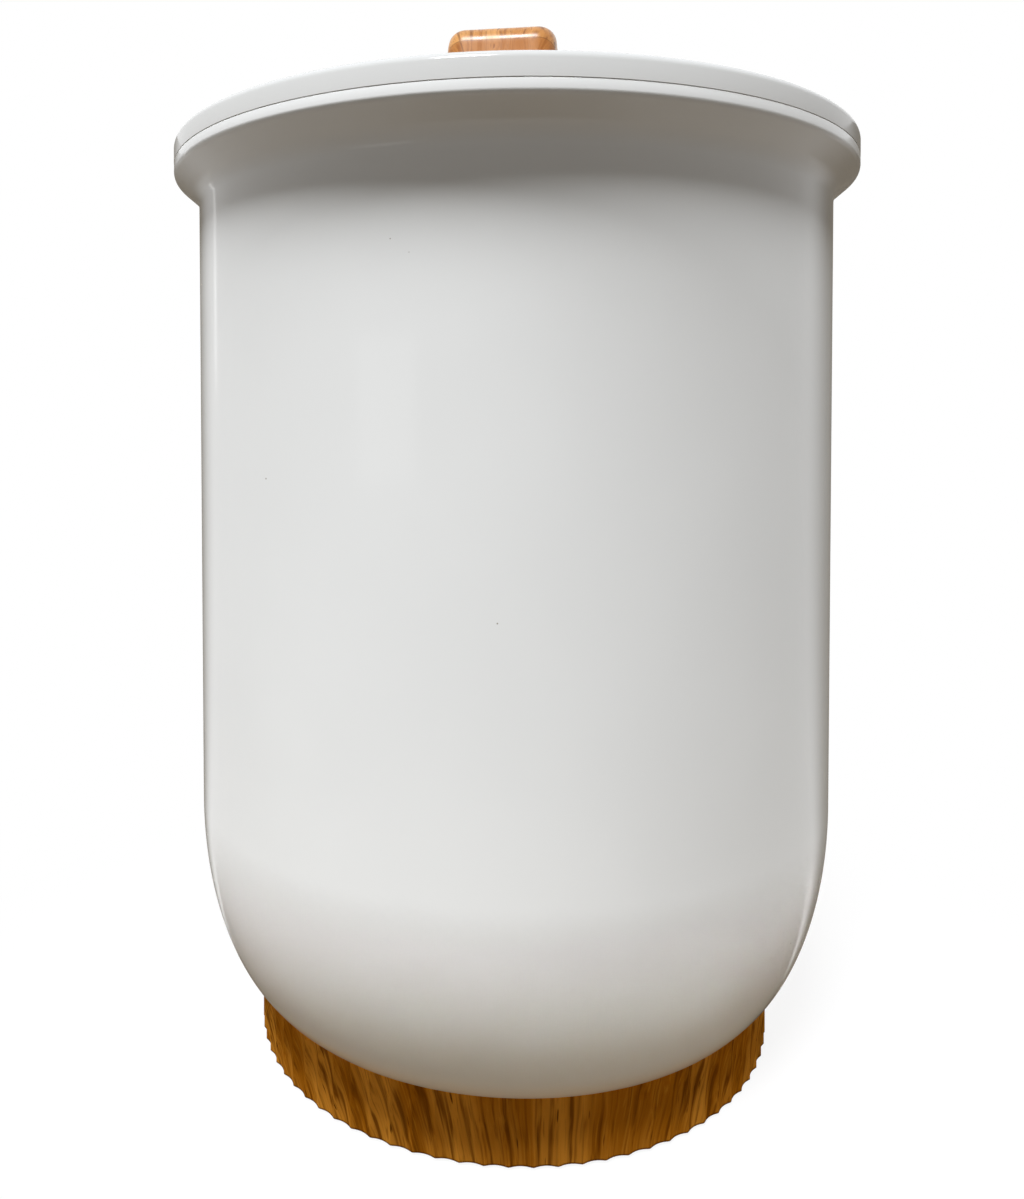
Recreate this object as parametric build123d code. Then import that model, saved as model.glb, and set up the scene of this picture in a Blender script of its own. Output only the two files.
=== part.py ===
from build123d import *
import os
from math import asin, cos, degrees, radians, sin, sqrt, tan

# Towel warmer bucket: a bowl-bottomed outer shell on a fluted base ring, an aluminium bucket hung
# inside it with its heaters, an electronics bay in the base, and a lift-off lid with a bridge handle.
# Millimetres. +Z is up, z = 0 is the floor under the feet, the bucket's axis is x = y = 0,
# the plain front faces -Y, and the control panel and the cord inlet face +Y.

# ------------------------------------------------------------------ driving sizes
# Mouldings and fits
wall = 2.5                    # moulded wall of the shell, collar and lid
seat_gap = 0.3                # drawn gap of a moving or curved seat
sheet = 0.8                   # pressed steel sheet

# Base ring and what it stands on
foot_proud = 1.5              # rubber feet stand this far below the ring
foot_radius = 8.5
foot_inset = 16.0             # feet's circle inside the case screws' circle
foot_count = 4
foot_recess = 0.8
ring_height = 27.0
ring_step = 0.7               # crests of the flutes inside the foot of the bowl
flute_count = 80
flute_depth = 1.2
ring_round = 1.6              # rounded top edge of the ring
ring_wall = 5.5               # behind the flutes
ring_lip = 8.0                # inward lip that the base plate clamps
ring_lip_thickness = 1.9
plate_recess = 2.5            # base plate's underside above the ring's lower edge
base_thickness = 2.5
vent_count = 7
vent_pitch = 8.0
vent_width = 3.0
vent_length = 44.0

# Outer shell
body_height = 399.2           # top of the rim's lip above the floor
bowl_height = 84.4            # from the ring's top to the foot of the straight wall
bowl_side = 42.0              # the bowl's quarter ellipse, sideways and downwards
bowl_cut = 6.6                # the ellipse would end this far below the ring's top
rim_radius = 160.0
rim_flare = 11.1              # rim stands out past the top of the straight wall
wall_taper = 1.4              # straight wall widens this much on its way up
rim_face = 4.7                # upright face of the rim
rim_bevel = 40.0              # underside of the rim, degrees from level
rim_corner = 2.5
rim_cove = 10.0
lip_width = 2.5               # lip that hides the collar's edge
collar_ledge = 2.5            # width of the ledge under the collar's edge
spigot_height = 8.5           # shell's locating rim inside the base ring
floor_opening = 80.0          # radius of the hole in the shell's floor
boss_radius = 4.5
boss_inset = 13.5             # bosses' circle inside the spigot
boss_count = 6
boss_start = 0.0              # angle of the first boss, clear of the cord inlet's path

# Collar and aluminium bucket
collar_sink = 0.8             # collar's face below the rim's lip
liner_space = 14.3            # from the foot of the shell's wall to the aluminium bucket's mouth
collar_lip = 2.0
collar_lip_depth = 12.4
liner_clearance = 0.8         # around the collar's lip
liner_wall = 1.2
liner_draft = 1.0             # degrees
liner_flange = 7.0
liner_corner = 22.0

# Heaters and insulation
standoff_radius = 5.0
standoff_inset = 4.0          # spacers' circle inside the bosses' circle
standoff_count = 3
standoff_start = 30.0         # between the bosses
heater_plate_thickness = 3.0
element_radius = 3.2
element_inset = 29.0          # element's circle inside the heater plate's edge
element_sweep = 330.0
element_terminal = 10.0
bond_gap = 0.2                # foil and brazed seats
foil_thickness = 0.8
foil_rise = 46.0              # foil's foot above the bucket's floor
foil_drop = 95.9              # foil's top below the collar
felt_gap = 0.4                # felt's seat over the foil
felt_thickness = 3.5
felt_rise = 40.0
felt_drop = 23.9
thermostat_radius = 8.0
thermostat_height = 10.0
thermostat_ear = 12.0         # from its centre to its screws
thermostat_blade = 6.0
blade_clearance = 3.0         # under the thermostat's blades
fuse_radius = 2.5
fuse_length = 14.0
fuse_offset = 38.0
strap_width = 6.0
strap_tab = 7.0
strap_count = 3
shield_width = 10.0           # flange that lies on the shell's floor
shield_gap = 1.0              # flange's edge to the spacers
shield_rise = 9.0

# Screws: shank radius, head radius, head height
case_screw = (1.8, 3.8, 2.3)
small_screw = (1.2, 2.6, 1.5)
screw_bite = 8.5              # length of shank in what it holds
pilot_clearance = 0.2

# Electronics bay
board_size = (92.0, 62.0)
board_thickness = 1.6
board_post = 5.5
board_post_radius = 3.5
board_margin = 5.0
relay_size = (19.0, 15.5, 15.5)
module_size = (34.0, 22.0, 15.0)
terminal_size = (30.0, 10.0, 12.0)
terminal_poles = 3
capacitor_radius = 5.0
capacitor_height = 15.0

# Rear control panel
panel_rise = 37.1             # its centre above the foot of the straight wall
panel_length = 66.0
panel_overlap = 3.0           # how far its flange covers the shell's opening
panel_proud = 1.5             # in front of the shell's surface
panel_thickness = 2.5
panel_skirt = 2.0
panel_depth = 8.0
panel_round = 0.8
button_radius = 10.7
button_drop = 11.0            # below the panel's centre
button_proud = 1.0
button_flange = 1.3
button_margin = 0.7           # from the button's flange to the panel's skirt
button_flange_thickness = 1.5
button_dish = 0.8
button_travel = 0.8
switch_size = 6.0
switch_height = 3.5
plunger_radius = 1.75
plunger_height = 0.8
lens_radius = 1.6
lens_count = 4
lens_pitch = 6.0
lens_rise = 15.0              # above the panel's centre
lens_foot = 0.6
led_height = 1.4
panel_post_radius = 2.5
panel_post_spread = 9.0
panel_post_rise = 6.0
panel_post_top = 23.0
button_board_width = 25.0
button_board_length = 55.0

# Cord inlet in the ring
inlet_gap = 0.5               # inlet's bush to the shell's spigot above it
inlet_bore = 3.7
inlet_radius = 5.5
inlet_flange = 2.0
inlet_flange_thickness = 1.5
inlet_pad = 8.5
inlet_pad_proud = 0.5

# Lid
lid_band = 8.8                # upright edge of the lid
lid_rise = 11.1               # crown of the lid above its edge
lid_edge_round = 3.0
lid_plate_thickness = 2.2
plug_clearance = 0.9
plug_depth = 11.5
plug_wall = 2.2
plug_floor = 2.5
foam_clearance = 0.5
foam_thickness = 11.0
seal_inset = 8.6              # seal's middle outside the mouth
seal_width = 4.0
seal_thickness = 0.8

# Bridge handle
handle_length = 114.0         # over the legs at the top
handle_width = 48.0
handle_height = 38.2          # above its pads
handle_bar = 13.0
handle_splay = 4.0            # each leg leans out this far at its foot
handle_leg = 14.0
handle_bend = 8.5
handle_edge = 8.0
handle_inner_bend = 9.0
handle_inner_edge = 3.5
pad_margin = 1.5
pad_thickness = 4.2
pad_lift = 0.3                # pad's top above the crown where the handle's inner edge stands
handle_screw = (2.0, 4.0, 2.4)
handle_screw_bite = 18.0
washer_radius = 6.0
washer_thickness = 1.0

# Fragrance cup in the lid, with its twist cover
cup_radius = 27.0
cup_wall = 2.2
cup_height = 11.5
cup_roof = 2.0
cover_radius = 24.7
cover_wall = 2.2
cover_disc = 2.0
cover_flange = 5.3
cover_flange_thickness = 1.3
lug_reach = 1.7
lug_height = 2.0
lug_angle = 20.0
notch_angle = 26.0
twist_angle = 45.0
hole_radius = 1.6
hole_pitch = 6.0
grip_length = 30.0
grip_width = 3.2
grip_height = 5.0
pad_clearance = 0.5
pad_felt = 3.8

# ------------------------------------------------------------------ heights and radii that follow
ring_top = foot_proud + ring_height
floor_top = ring_top + wall
bowl_top = ring_top + bowl_height
bowl_drop = bowl_height + bowl_cut
wall_top_radius = rim_radius - rim_flare
wall_foot_radius = wall_top_radius - wall_taper
bowl_centre = wall_foot_radius - bowl_side
bowl_foot_radius = bowl_centre + bowl_side * sqrt(1 - (bowl_height / bowl_drop) ** 2)
rim_corner_height = body_height - rim_face
bevel_slope = tan(radians(rim_bevel))
rim_root_height = rim_corner_height - (rim_radius - wall_top_radius) * bevel_slope
inner_bevel_lift = wall / cos(radians(rim_bevel))
lip_inner = rim_radius - lip_width
ledge_radius = lip_inner - collar_ledge
collar_top = body_height - collar_sink
collar_low = collar_top - wall

crest_radius = bowl_foot_radius - ring_step
ring_bore = crest_radius - flute_depth - ring_wall
spigot_radius = ring_bore - seat_gap
base_low = foot_proud + plate_recess
base_top = base_low + base_thickness
boss_circle = spigot_radius - boss_inset
foot_circle = boss_circle - foot_inset
inlet_height = ring_top - spigot_height - inlet_gap - inlet_radius

standoff_circle = boss_circle - standoff_inset
heater_plate_radius = standoff_circle + standoff_radius
element_circle = heater_plate_radius - element_inset
floor_opening = standoff_circle - standoff_radius - shield_gap - shield_width
shield_top = floor_top + shield_rise + sheet
plate_low = shield_top + blade_clearance + thermostat_blade + thermostat_height
liner_low = plate_low + heater_plate_thickness
liner_floor = liner_low + liner_wall
liner_mouth = wall_foot_radius - liner_space
mouth_radius = liner_mouth - liner_clearance - collar_lip
seal_radius = mouth_radius + seal_inset
foil_low = liner_floor + foil_rise
foil_high = collar_low - foil_drop
felt_low = liner_floor + felt_rise
felt_high = collar_low - felt_drop

board_low = base_top + board_post
board_top = board_low + board_thickness
post_x = board_size[0] / 2 - board_margin
post_y = board_size[1] / 2 - board_margin

lid_low = body_height + seat_gap
lid_edge = lid_low + lid_band
lid_crown = lid_edge + lid_rise
lid_plate_top = lid_low + lid_plate_thickness
plug_radius = mouth_radius - plug_clearance
plug_low = lid_low - plug_depth
plug_top = plug_low + plug_floor
crown_radius = (rim_radius ** 2 + lid_rise ** 2) / (2 * lid_rise)
leg_inner = handle_length / 2 - handle_leg
leg_centre = handle_length / 2 - handle_leg / 2
pad_top = lid_crown - (crown_radius - sqrt(crown_radius ** 2 - leg_inner ** 2)) + pad_lift
pad_low = pad_top - pad_thickness
handle_top = pad_top + handle_height

UP = (Align.CENTER, Align.CENTER, Align.MIN)


def wall_radius(z):
    """Outside radius of the shell's straight wall at a height."""
    share = (z - bowl_top) / (rim_root_height - bowl_top)
    return wall_foot_radius + (wall_top_radius - wall_foot_radius) * share


def liner_radius(z):
    """Inside radius of the aluminium bucket at a height: it narrows downwards by its draft."""
    return liner_mouth - (collar_low - z) * tan(radians(liner_draft))


panel_height = bowl_top + panel_rise
panel_width = 2 * (button_radius + button_flange + button_margin + panel_skirt + seat_gap + panel_overlap)
panel_seat = wall_radius(panel_height)
panel_face = panel_seat + panel_proud
panel_back = panel_face - panel_thickness
flange_back = panel_back - seat_gap - button_flange_thickness
switch_face = flange_back - button_travel - pilot_clearance / 2
button_board_face = switch_face - plunger_height - switch_height
button_board_back = button_board_face - board_thickness


# ------------------------------------------------------------------ small helpers
def turn(points, rounds=0.0):
    """Solid of revolution about the bucket's axis from a closed (radius, height) outline."""
    outline = FilletPolyline(*points, radius=rounds, close=True)
    return revolve(Plane.XZ * make_face(outline), Axis.Z)


def tube(outer, inner, low, high):
    """Plain ring about the bucket's axis."""
    return turn([(inner, low), (outer, low), (outer, high), (inner, high)])


def post(radius, low, high, x=0.0, y=0.0):
    """Upright cylinder between two heights."""
    return Pos(x, y, low) * Cylinder(radius, high - low, align=UP)


def around(circle, count, solid, start=0.0):
    """Copies of a solid that stands on the axis, spread on a circle."""
    return [place * solid for place in PolarLocations(circle, count, start)]


def rear(y, z, x=0.0):
    """Sketch plane that faces the rear, y from the axis."""
    return Plane(origin=(x, y, z), x_dir=(-1, 0, 0), z_dir=(0, 1, 0))


def peg(radius, low, high, z, x=0.0):
    """Cylinder along Y between two distances from the axis."""
    return rear(low, z, x) * Cylinder(radius, high - low, align=UP)


def slot_block(length, width, low, high):
    """Upright round-ended block of the control panel, between two distances from the axis."""
    return extrude(rear(low, panel_height) * SlotOverall(length, width, rotation=90), high - low)


def screw(size, bite, through):
    """Pan-head screw, head down, its head's seat at z = 0 and its shank upwards."""
    shank, head, height = size
    body = post(shank, 0, through + bite) + post(head, -height, 0)
    return fillet(body.edges().filter_by(GeomType.CIRCLE).sort_by(Axis.Z)[0], height / 2)


# ------------------------------------------------------------------ outer shell and base
def bowl_arc(inset, low):
    """The bowl's elliptical side from a height up to the foot of the wall."""
    side = bowl_side - inset
    drop = bowl_drop - inset
    start = degrees(asin((bowl_top - low) / drop))
    return EllipticalCenterArc((bowl_centre, bowl_top), side, drop, start_angle=-start, arc_size=start)


def shell_outline():
    """Closed outline of the shell: bowl, drafted wall and flared rim with the collar's ledge."""
    outside = bowl_arc(0, ring_top)
    inside = bowl_arc(wall, floor_top)
    inner_root = rim_root_height + inner_bevel_lift - wall * bevel_slope
    ledge_root = inner_root + (ledge_radius - wall_top_radius + wall) * bevel_slope
    rim = FilletPolyline(
        inside @ 1,
        (wall_top_radius - wall, inner_root),
        (ledge_radius, ledge_root),
        (ledge_radius, collar_low),
        (lip_inner, collar_low),
        (lip_inner, body_height),
        (rim_radius, body_height),
        (rim_radius, rim_corner_height),
        (wall_top_radius, rim_root_height),
        outside @ 1,
        radius=[rim_cove, 0, 0, 0, 0, lip_width / 5, rim_corner, rim_cove],
    )
    floor = Polyline(outside @ 0, (floor_opening, ring_top), (floor_opening, floor_top), inside @ 0)
    return make_face([*inside.edges(), *rim.edges(), *outside.edges(), *floor.edges()])


def outer_shell():
    """White bucket shell with its locating spigot, case bosses and control panel opening."""
    shell = revolve(Plane.XZ * shell_outline(), Axis.Z)
    shell += tube(spigot_radius, spigot_radius - wall, ring_top - spigot_height, ring_top)
    shell += around(boss_circle, boss_count, post(boss_radius, base_top, ring_top), boss_start)
    pilot = post(case_screw[0] + pilot_clearance, base_top, base_top + screw_bite + 2)
    shell -= around(boss_circle, boss_count, pilot, boss_start)
    foot_hole = post(case_screw[0] + pilot_clearance, ring_top, floor_top)
    shell -= around(standoff_circle, standoff_count, foot_hole, standoff_start)
    opening = slot_block(panel_length - 2 * panel_overlap, panel_width - 2 * panel_overlap,
                         panel_seat - 3 * wall, panel_face)
    return shell - opening


def flute_face():
    """Scalloped plan of the base ring: concave scoops that meet in crests."""
    pitch = radians(360.0 / flute_count)
    hollow = crest_radius - flute_depth
    scoops = []
    for i in range(flute_count):
        start = i * pitch
        middle = start + pitch / 2
        end = start + pitch
        scoops.append(ThreePointArc(
            (crest_radius * cos(start), crest_radius * sin(start)),
            (hollow * cos(middle), hollow * sin(middle)),
            (crest_radius * cos(end), crest_radius * sin(end)),
        ))
    return make_face(scoops)


def base_ring():
    """Fluted wood-grain ring, rounded at its top edge, with a lip that the base plate clamps."""
    fluted = Pos(0, 0, foot_proud) * extrude(flute_face(), ring_height)
    edge = [(0, foot_proud), (crest_radius, foot_proud), (crest_radius, ring_top), (0, ring_top)]
    body = fluted & turn(edge, [0, 0, ring_round, 0])
    body += peg(inlet_pad, ring_bore, crest_radius + inlet_pad_proud, inlet_height)
    body -= post(ring_bore - ring_lip, foot_proud, ring_top)
    body -= post(ring_bore, foot_proud, base_top)
    body -= post(ring_bore, base_top + ring_lip_thickness, ring_top)
    hole = inlet_radius + pilot_clearance
    return body - peg(hole, ring_bore - 2, crest_radius + 2, inlet_height)


def base_plate():
    """Bottom cover with vents, foot recesses, board posts and screw holes."""
    plate = tube(ring_bore - seat_gap, 0, base_low, base_top)
    post_points = GridLocations(2 * post_x, 2 * post_y, 2, 2)
    plate += [spot * post(board_post_radius, base_top, board_low) for spot in post_points]
    pilot = post(small_screw[0] + pilot_clearance, base_top, board_low)
    plate -= [spot * pilot for spot in post_points]
    hole = post(case_screw[0] + 2 * pilot_clearance, base_low, base_top)
    plate -= around(boss_circle, boss_count, hole, boss_start)
    recess = post(foot_radius + seat_gap, base_low, base_low + foot_recess)
    plate -= around(foot_circle, foot_count, recess, 180.0 / foot_count)
    vent = extrude(SlotOverall(vent_length, vent_width, rotation=90), base_thickness)
    vents = GridLocations(vent_pitch, 0, vent_count, 1)
    return plate - [spot * Pos(0, 0, base_low) * vent for spot in vents]


def rubber_feet():
    """Soft feet seated in the base plate's recesses."""
    foot = post(foot_radius, 0, base_low + foot_recess)
    foot = fillet(foot.edges().filter_by(GeomType.CIRCLE).sort_by(Axis.Z)[0], foot_proud * 0.8)
    return Compound(children=around(foot_circle, foot_count, foot, 180.0 / foot_count))


def base_screws():
    """Case screws up through the base plate into the shell's bosses."""
    one = Pos(0, 0, base_low) * screw(case_screw, screw_bite, base_thickness)
    return Compound(children=around(boss_circle, boss_count, one, boss_start))


def cord_bushing():
    """Flanged bush of the cord inlet, through the flat pad at the rear of the ring."""
    pad_face = crest_radius + inlet_pad_proud
    inner = ring_bore - 2 * seat_gap
    bush = peg(inlet_radius, inner, pad_face, inlet_height)
    rim = inlet_radius + inlet_flange
    outer_flange = peg(rim, pad_face, pad_face + inlet_flange_thickness, inlet_height)
    bush += fillet(outer_flange.edges().sort_by(Axis.Y)[-1], inlet_flange_thickness / 2)
    bore = peg(inlet_bore, inner, pad_face + inlet_flange_thickness, inlet_height)
    return bush - bore


# ------------------------------------------------------------------ collar, bucket and heaters
def top_collar():
    """White collar that bridges the shell's lip and the aluminium bucket's mouth."""
    points = [
        (lip_inner - seat_gap, collar_low),
        (lip_inner - seat_gap, collar_top),
        (mouth_radius, collar_top),
        (mouth_radius, collar_top - collar_lip_depth),
        (mouth_radius + collar_lip, collar_top - collar_lip_depth),
        (mouth_radius + collar_lip, collar_low),
    ]
    return turn(points, [0, wall / 5, collar_lip, collar_lip / 3, 0, 0])


def inner_bucket():
    """Aluminium towel bucket: drafted wall, rounded foot, and a flange under the collar."""
    flange_low = collar_low - liner_wall
    flange_radius = liner_mouth + liner_flange
    foot = liner_radius(liner_floor)
    outer_foot = liner_radius(liner_low) + liner_wall
    points = [
        (0, liner_low),
        (outer_foot, liner_low),
        (liner_radius(flange_low) + liner_wall, flange_low),
        (flange_radius, flange_low),
        (flange_radius, collar_low),
        (liner_mouth, collar_low),
        (foot, liner_floor),
        (0, liner_floor),
    ]
    return turn(points, [0, liner_corner + liner_wall, 0, 0, 0, liner_wall, liner_corner, 0])


def sleeve(inset, thickness, low, high):
    """Drafted sleeve around the bucket, its inner face a distance off the bucket's wall."""
    foot = liner_radius(low) + liner_wall + inset
    top = liner_radius(high) + liner_wall + inset
    return turn([(foot, low), (foot + thickness, low), (top + thickness, high), (top, high)])


def heater_foil():
    """Foil heater bonded round the bucket's wall."""
    return sleeve(bond_gap, foil_thickness, foil_low, foil_high)


def insulation_felt():
    """Felt sleeve over the foil heater."""
    return sleeve(bond_gap + foil_thickness + felt_gap, felt_thickness, felt_low, felt_high)


def strap_offset(tube_radius):
    """From a strapped tube's centre line to the screw in each tab."""
    return tube_radius + bond_gap + sheet + strap_tab / 2


def strap_places():
    """Where the heating element's straps sit, as angles away from its gap."""
    spread = element_sweep / strap_count
    return [spread * (i + 0.5) for i in range(strap_count)]


def plate_screw_points():
    """Every small screw up into the heater plate: straps, thermostat ears and fuse clip."""
    points = [(-thermostat_ear, 0.0), (thermostat_ear, 0.0)]
    reach = strap_offset(fuse_radius)
    points += [(0.0, fuse_offset - reach), (0.0, fuse_offset + reach)]
    reach = strap_offset(element_radius)
    for angle in strap_places():
        for radius in (element_circle - reach, element_circle + reach):
            points.append((radius * cos(radians(angle)), radius * sin(radians(angle))))
    return points


def bottom_heater_plate():
    """Aluminium spreader plate under the bucket's floor."""
    plate = tube(heater_plate_radius, 0, plate_low, liner_low)
    pilot = small_screw[0] + pilot_clearance
    depth = heater_plate_thickness - 0.5
    return plate - [post(pilot, plate_low, plate_low + depth, x, y) for x, y in plate_screw_points()]


def bottom_heating_element():
    """Tubular element bent to a C under the plate, with a terminal down from each end."""
    centre = plate_low - bond_gap / 2 - element_radius
    section = Plane.XZ * Pos(element_circle, centre) * Circle(element_radius)
    coil = revolve(section, Axis.Z, element_sweep)
    terminal = post(element_radius / 2, centre - element_radius - element_terminal, centre, element_circle)
    inboard = degrees(element_radius / element_circle)
    return coil + [Rot(0, 0, turn_to) * terminal for turn_to in (inboard, element_sweep - inboard)]


def strap(tube_radius):
    """Pressed strap over a tube below the heater plate; the tube runs along local Y at the origin."""
    bore = tube_radius + bond_gap
    hoop = bore + sheet
    seat = tube_radius + bond_gap / 2
    outer = Circle(hoop) + Pos(0, seat / 2) * Rectangle(2 * hoop, seat)
    inner = Circle(bore) + Pos(0, seat / 2) * Rectangle(2 * bore, seat)
    tabs = Pos(0, seat - sheet / 2) * Rectangle(2 * (hoop + strap_tab), sheet)
    profile = outer + tabs - inner - Pos(0, seat + hoop) * Rectangle(4 * hoop, 2 * hoop)
    body = extrude(Plane.XZ * profile, strap_width / 2, both=True)
    hole = post(small_screw[0] + pilot_clearance, -hoop, hoop)
    return body - [Pos(side * strap_offset(tube_radius), 0, 0) * hole for side in (-1, 1)]


def element_straps():
    """Straps that hold the heating element up against the plate."""
    centre = plate_low - bond_gap / 2 - element_radius
    one = Pos(element_circle, 0, centre) * strap(element_radius)
    return Compound(children=[Rot(0, 0, angle) * one for angle in strap_places()])


def thermal_fuse():
    """Thermal cut-out that lies under the heater plate."""
    centre = plate_low - bond_gap / 2 - fuse_radius
    body = Pos(0, fuse_offset, centre) * Rot(0, 90, 0) * Cylinder(fuse_radius, fuse_length)
    return body + Pos(0, fuse_offset, centre) * Rot(0, 90, 0) * Cylinder(fuse_radius / 4, fuse_length * 2)


def fuse_clip():
    """Strap that holds the thermal fuse."""
    centre = plate_low - bond_gap / 2 - fuse_radius
    return Pos(0, fuse_offset, centre) * Rot(0, 0, 90) * strap(fuse_radius)


def thermostat():
    """Snap-action thermostat with two ears and two blade terminals."""
    body = post(thermostat_radius, plate_low - thermostat_height, plate_low)
    ear = SlotOverall(2 * thermostat_ear + 4 * small_screw[0] + 2, 2 * small_screw[0] + 4)
    body += Pos(0, 0, plate_low - sheet) * extrude(ear, sheet)
    hole = post(small_screw[0] + pilot_clearance, plate_low - 2 * sheet, plate_low)
    body -= [Pos(side * thermostat_ear, 0, 0) * hole for side in (-1, 1)]
    tip = plate_low - thermostat_height - thermostat_blade
    blade = Pos(0, 0, tip) * Box(sheet, thermostat_radius / 2, thermostat_blade + sheet, align=UP)
    return body + [Pos(side * thermostat_radius / 2, 0, 0) * blade for side in (-1, 1)]


def heater_screws():
    """Small screws of the straps, the thermostat and the fuse clip."""
    one = Pos(0, 0, plate_low - sheet) * screw(small_screw, heater_plate_thickness - 1, sheet)
    return Compound(children=[Pos(x, y, 0) * one for x, y in plate_screw_points()])


def bucket_standoffs():
    """Spacers between the shell's floor and the heater plate, each with a blind thread below."""
    one = post(standoff_radius, floor_top, plate_low)
    one -= post(case_screw[0] + pilot_clearance, floor_top, floor_top + screw_bite + 1)
    return Compound(children=around(standoff_circle, standoff_count, one, standoff_start))


def standoff_screws():
    """Screws up through the shell's floor into the spacers."""
    one = Pos(0, 0, ring_top) * screw(case_screw, screw_bite, wall)
    return Compound(children=around(standoff_circle, standoff_count, one, standoff_start))


def heat_shield():
    """Pressed dish that closes the shell's floor over the electronics."""
    outer = floor_opening + shield_width - seat_gap
    inner = floor_opening - 3 * sheet
    points = [
        (0, shield_top - sheet),
        (inner - sheet, shield_top - sheet),
        (inner - sheet, floor_top),
        (outer, floor_top),
        (outer, floor_top + sheet),
        (inner, floor_top + sheet),
        (inner, shield_top),
        (0, shield_top),
    ]
    return turn(points, [0, sheet, 2 * sheet, 0, 0, sheet, 2 * sheet, 0])


# ------------------------------------------------------------------ electronics bay
def control_board():
    """Main board on the base plate's posts."""
    board = Pos(0, 0, board_low) * extrude(RectangleRounded(*board_size, 3), board_thickness)
    hole = post(small_screw[0] + pilot_clearance, board_low, board_top)
    return board - [spot * hole for spot in GridLocations(2 * post_x, 2 * post_y, 2, 2)]


def board_screws():
    """Screws down through the board into its posts."""
    one = Pos(0, 0, board_top) * Rot(180, 0, 0) * screw(small_screw, board_post - 1.5, board_thickness)
    return Compound(children=[spot * one for spot in GridLocations(2 * post_x, 2 * post_y, 2, 2)])


def on_board(size, x, y):
    """Component box that stands on the board."""
    return Pos(x, y, board_top) * Box(*size, align=UP)


def relay():
    """Heater relay."""
    return fillet(on_board(relay_size, -board_size[0] / 4, post_y / 2).edges().filter_by(Axis.Z), 1)


def power_module():
    """Encapsulated low-voltage supply."""
    return fillet(on_board(module_size, board_size[0] / 5, 0).edges().filter_by(Axis.Z), 1)


def capacitor():
    """Upright electrolytic capacitor."""
    can = post(capacitor_radius, board_top, board_top + capacitor_height, -board_size[0] / 4, -post_y / 2)
    return fillet(can.edges().sort_by(Axis.Z)[-1], 0.6)


def terminal_block():
    """Mains terminal block with a wire entry and a screw well for each pole."""
    block = on_board(terminal_size, 0, post_y)
    top = board_top + terminal_size[2]
    pitch = terminal_size[0] / terminal_poles
    entry = Rot(90, 0, 0) * Cylinder(pitch / 4, terminal_size[1] / 2)
    for spot in GridLocations(pitch, 0, terminal_poles, 1):
        block -= spot * Pos(0, post_y + terminal_size[1] / 2, board_top + pitch / 2) * entry
        block -= spot * post(pitch / 4, top - 4, top, 0, post_y)
    return block


# ------------------------------------------------------------------ rear control panel
def lens_points():
    """Lens centres across the panel."""
    half = (lens_count - 1) / 2
    return [(lens_pitch * (i - half), panel_height + lens_rise) for i in range(lens_count)]


def panel_post_points():
    """Posts of the button board: two below the lenses and one above them."""
    low = panel_height + panel_post_rise
    return [(-panel_post_spread, low), (panel_post_spread, low), (0.0, panel_height + panel_post_top)]


def control_panel():
    """Flanged panel that fills the shell's opening, with the button's and the lenses' holes."""
    length = panel_length - 2 * panel_overlap - 2 * seat_gap
    width = panel_width - 2 * panel_overlap - 2 * seat_gap
    flange = slot_block(panel_length, panel_width, panel_seat - 3 * wall, panel_face)
    front_edges = flange.faces().sort_by(Axis.Y)[-1].edges()
    flange = fillet(front_edges, panel_round)
    flange -= turn([
        (0, bowl_top),
        (wall_foot_radius + seat_gap / 2, bowl_top),
        (wall_top_radius + seat_gap / 2, rim_root_height),
        (0, rim_root_height),
    ])
    skirt_low = panel_face - panel_depth
    panel = flange + slot_block(length, width, skirt_low, panel_face - panel_round)
    inner_length = length - 2 * panel_skirt
    inner_width = width - 2 * panel_skirt
    panel -= slot_block(inner_length, inner_width, skirt_low, panel_back)
    posts = [peg(panel_post_radius, button_board_face, panel_back, z, x) for x, z in panel_post_points()]
    pilot = small_screw[0] + pilot_clearance
    panel += posts
    panel -= [peg(pilot, button_board_face, panel_back, z, x) for x, z in panel_post_points()]
    panel -= peg(button_radius + seat_gap, panel_back, panel_face, panel_height - button_drop)
    lens_hole = lens_radius + pilot_clearance / 2
    return panel - [peg(lens_hole, panel_back, panel_face, z, x) for x, z in lens_points()]


def power_button():
    """Round push button with a dished face and a flange that stops it behind the panel."""
    z = panel_height - button_drop
    front = panel_face + button_proud
    cap = peg(button_radius, flange_back, front, z)
    cap = fillet(cap.edges().sort_by(Axis.Y)[-1], button_proud / 2)
    ball = (button_radius ** 2 + button_dish ** 2) / (2 * button_dish)
    cap -= Pos(0, front + ball - button_dish, z) * Sphere(ball)
    return cap + peg(button_radius + button_flange, flange_back, flange_back + button_flange_thickness, z)


def tact_switch():
    """Board-mounted switch behind the button."""
    z = panel_height - button_drop
    body = Pos(0, button_board_face + switch_height / 2, z) * Box(switch_size, switch_height, switch_size)
    base = button_board_face + switch_height
    return body + peg(plunger_radius, base, base + plunger_height, z)


def timer_lenses():
    """Light pipes that show the chosen time, flush with the panel."""
    lenses = []
    foot = lens_radius + lens_foot
    start = button_board_face + led_height + pilot_clearance
    for x, z in lens_points():
        pipe = peg(lens_radius, start, panel_face, z, x)
        step = panel_back - pilot_clearance
        lenses.append(pipe + peg(foot, step - 1, step, z, x))
    return Compound(children=lenses)


def indicator_leds():
    """One light-emitting chip behind each lens."""
    size = 2 * lens_radius
    middle = button_board_face + led_height / 2
    return Compound(children=[Pos(x, middle, z) * Box(size, led_height, size) for x, z in lens_points()])


def button_board():
    """Small board behind the panel."""
    outline = RectangleRounded(button_board_width, button_board_length, 8)
    board = extrude(rear(button_board_back, panel_height) * outline, board_thickness)
    hole = small_screw[0] + pilot_clearance
    return board - [peg(hole, button_board_back, button_board_face, z, x) for x, z in panel_post_points()]


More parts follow.
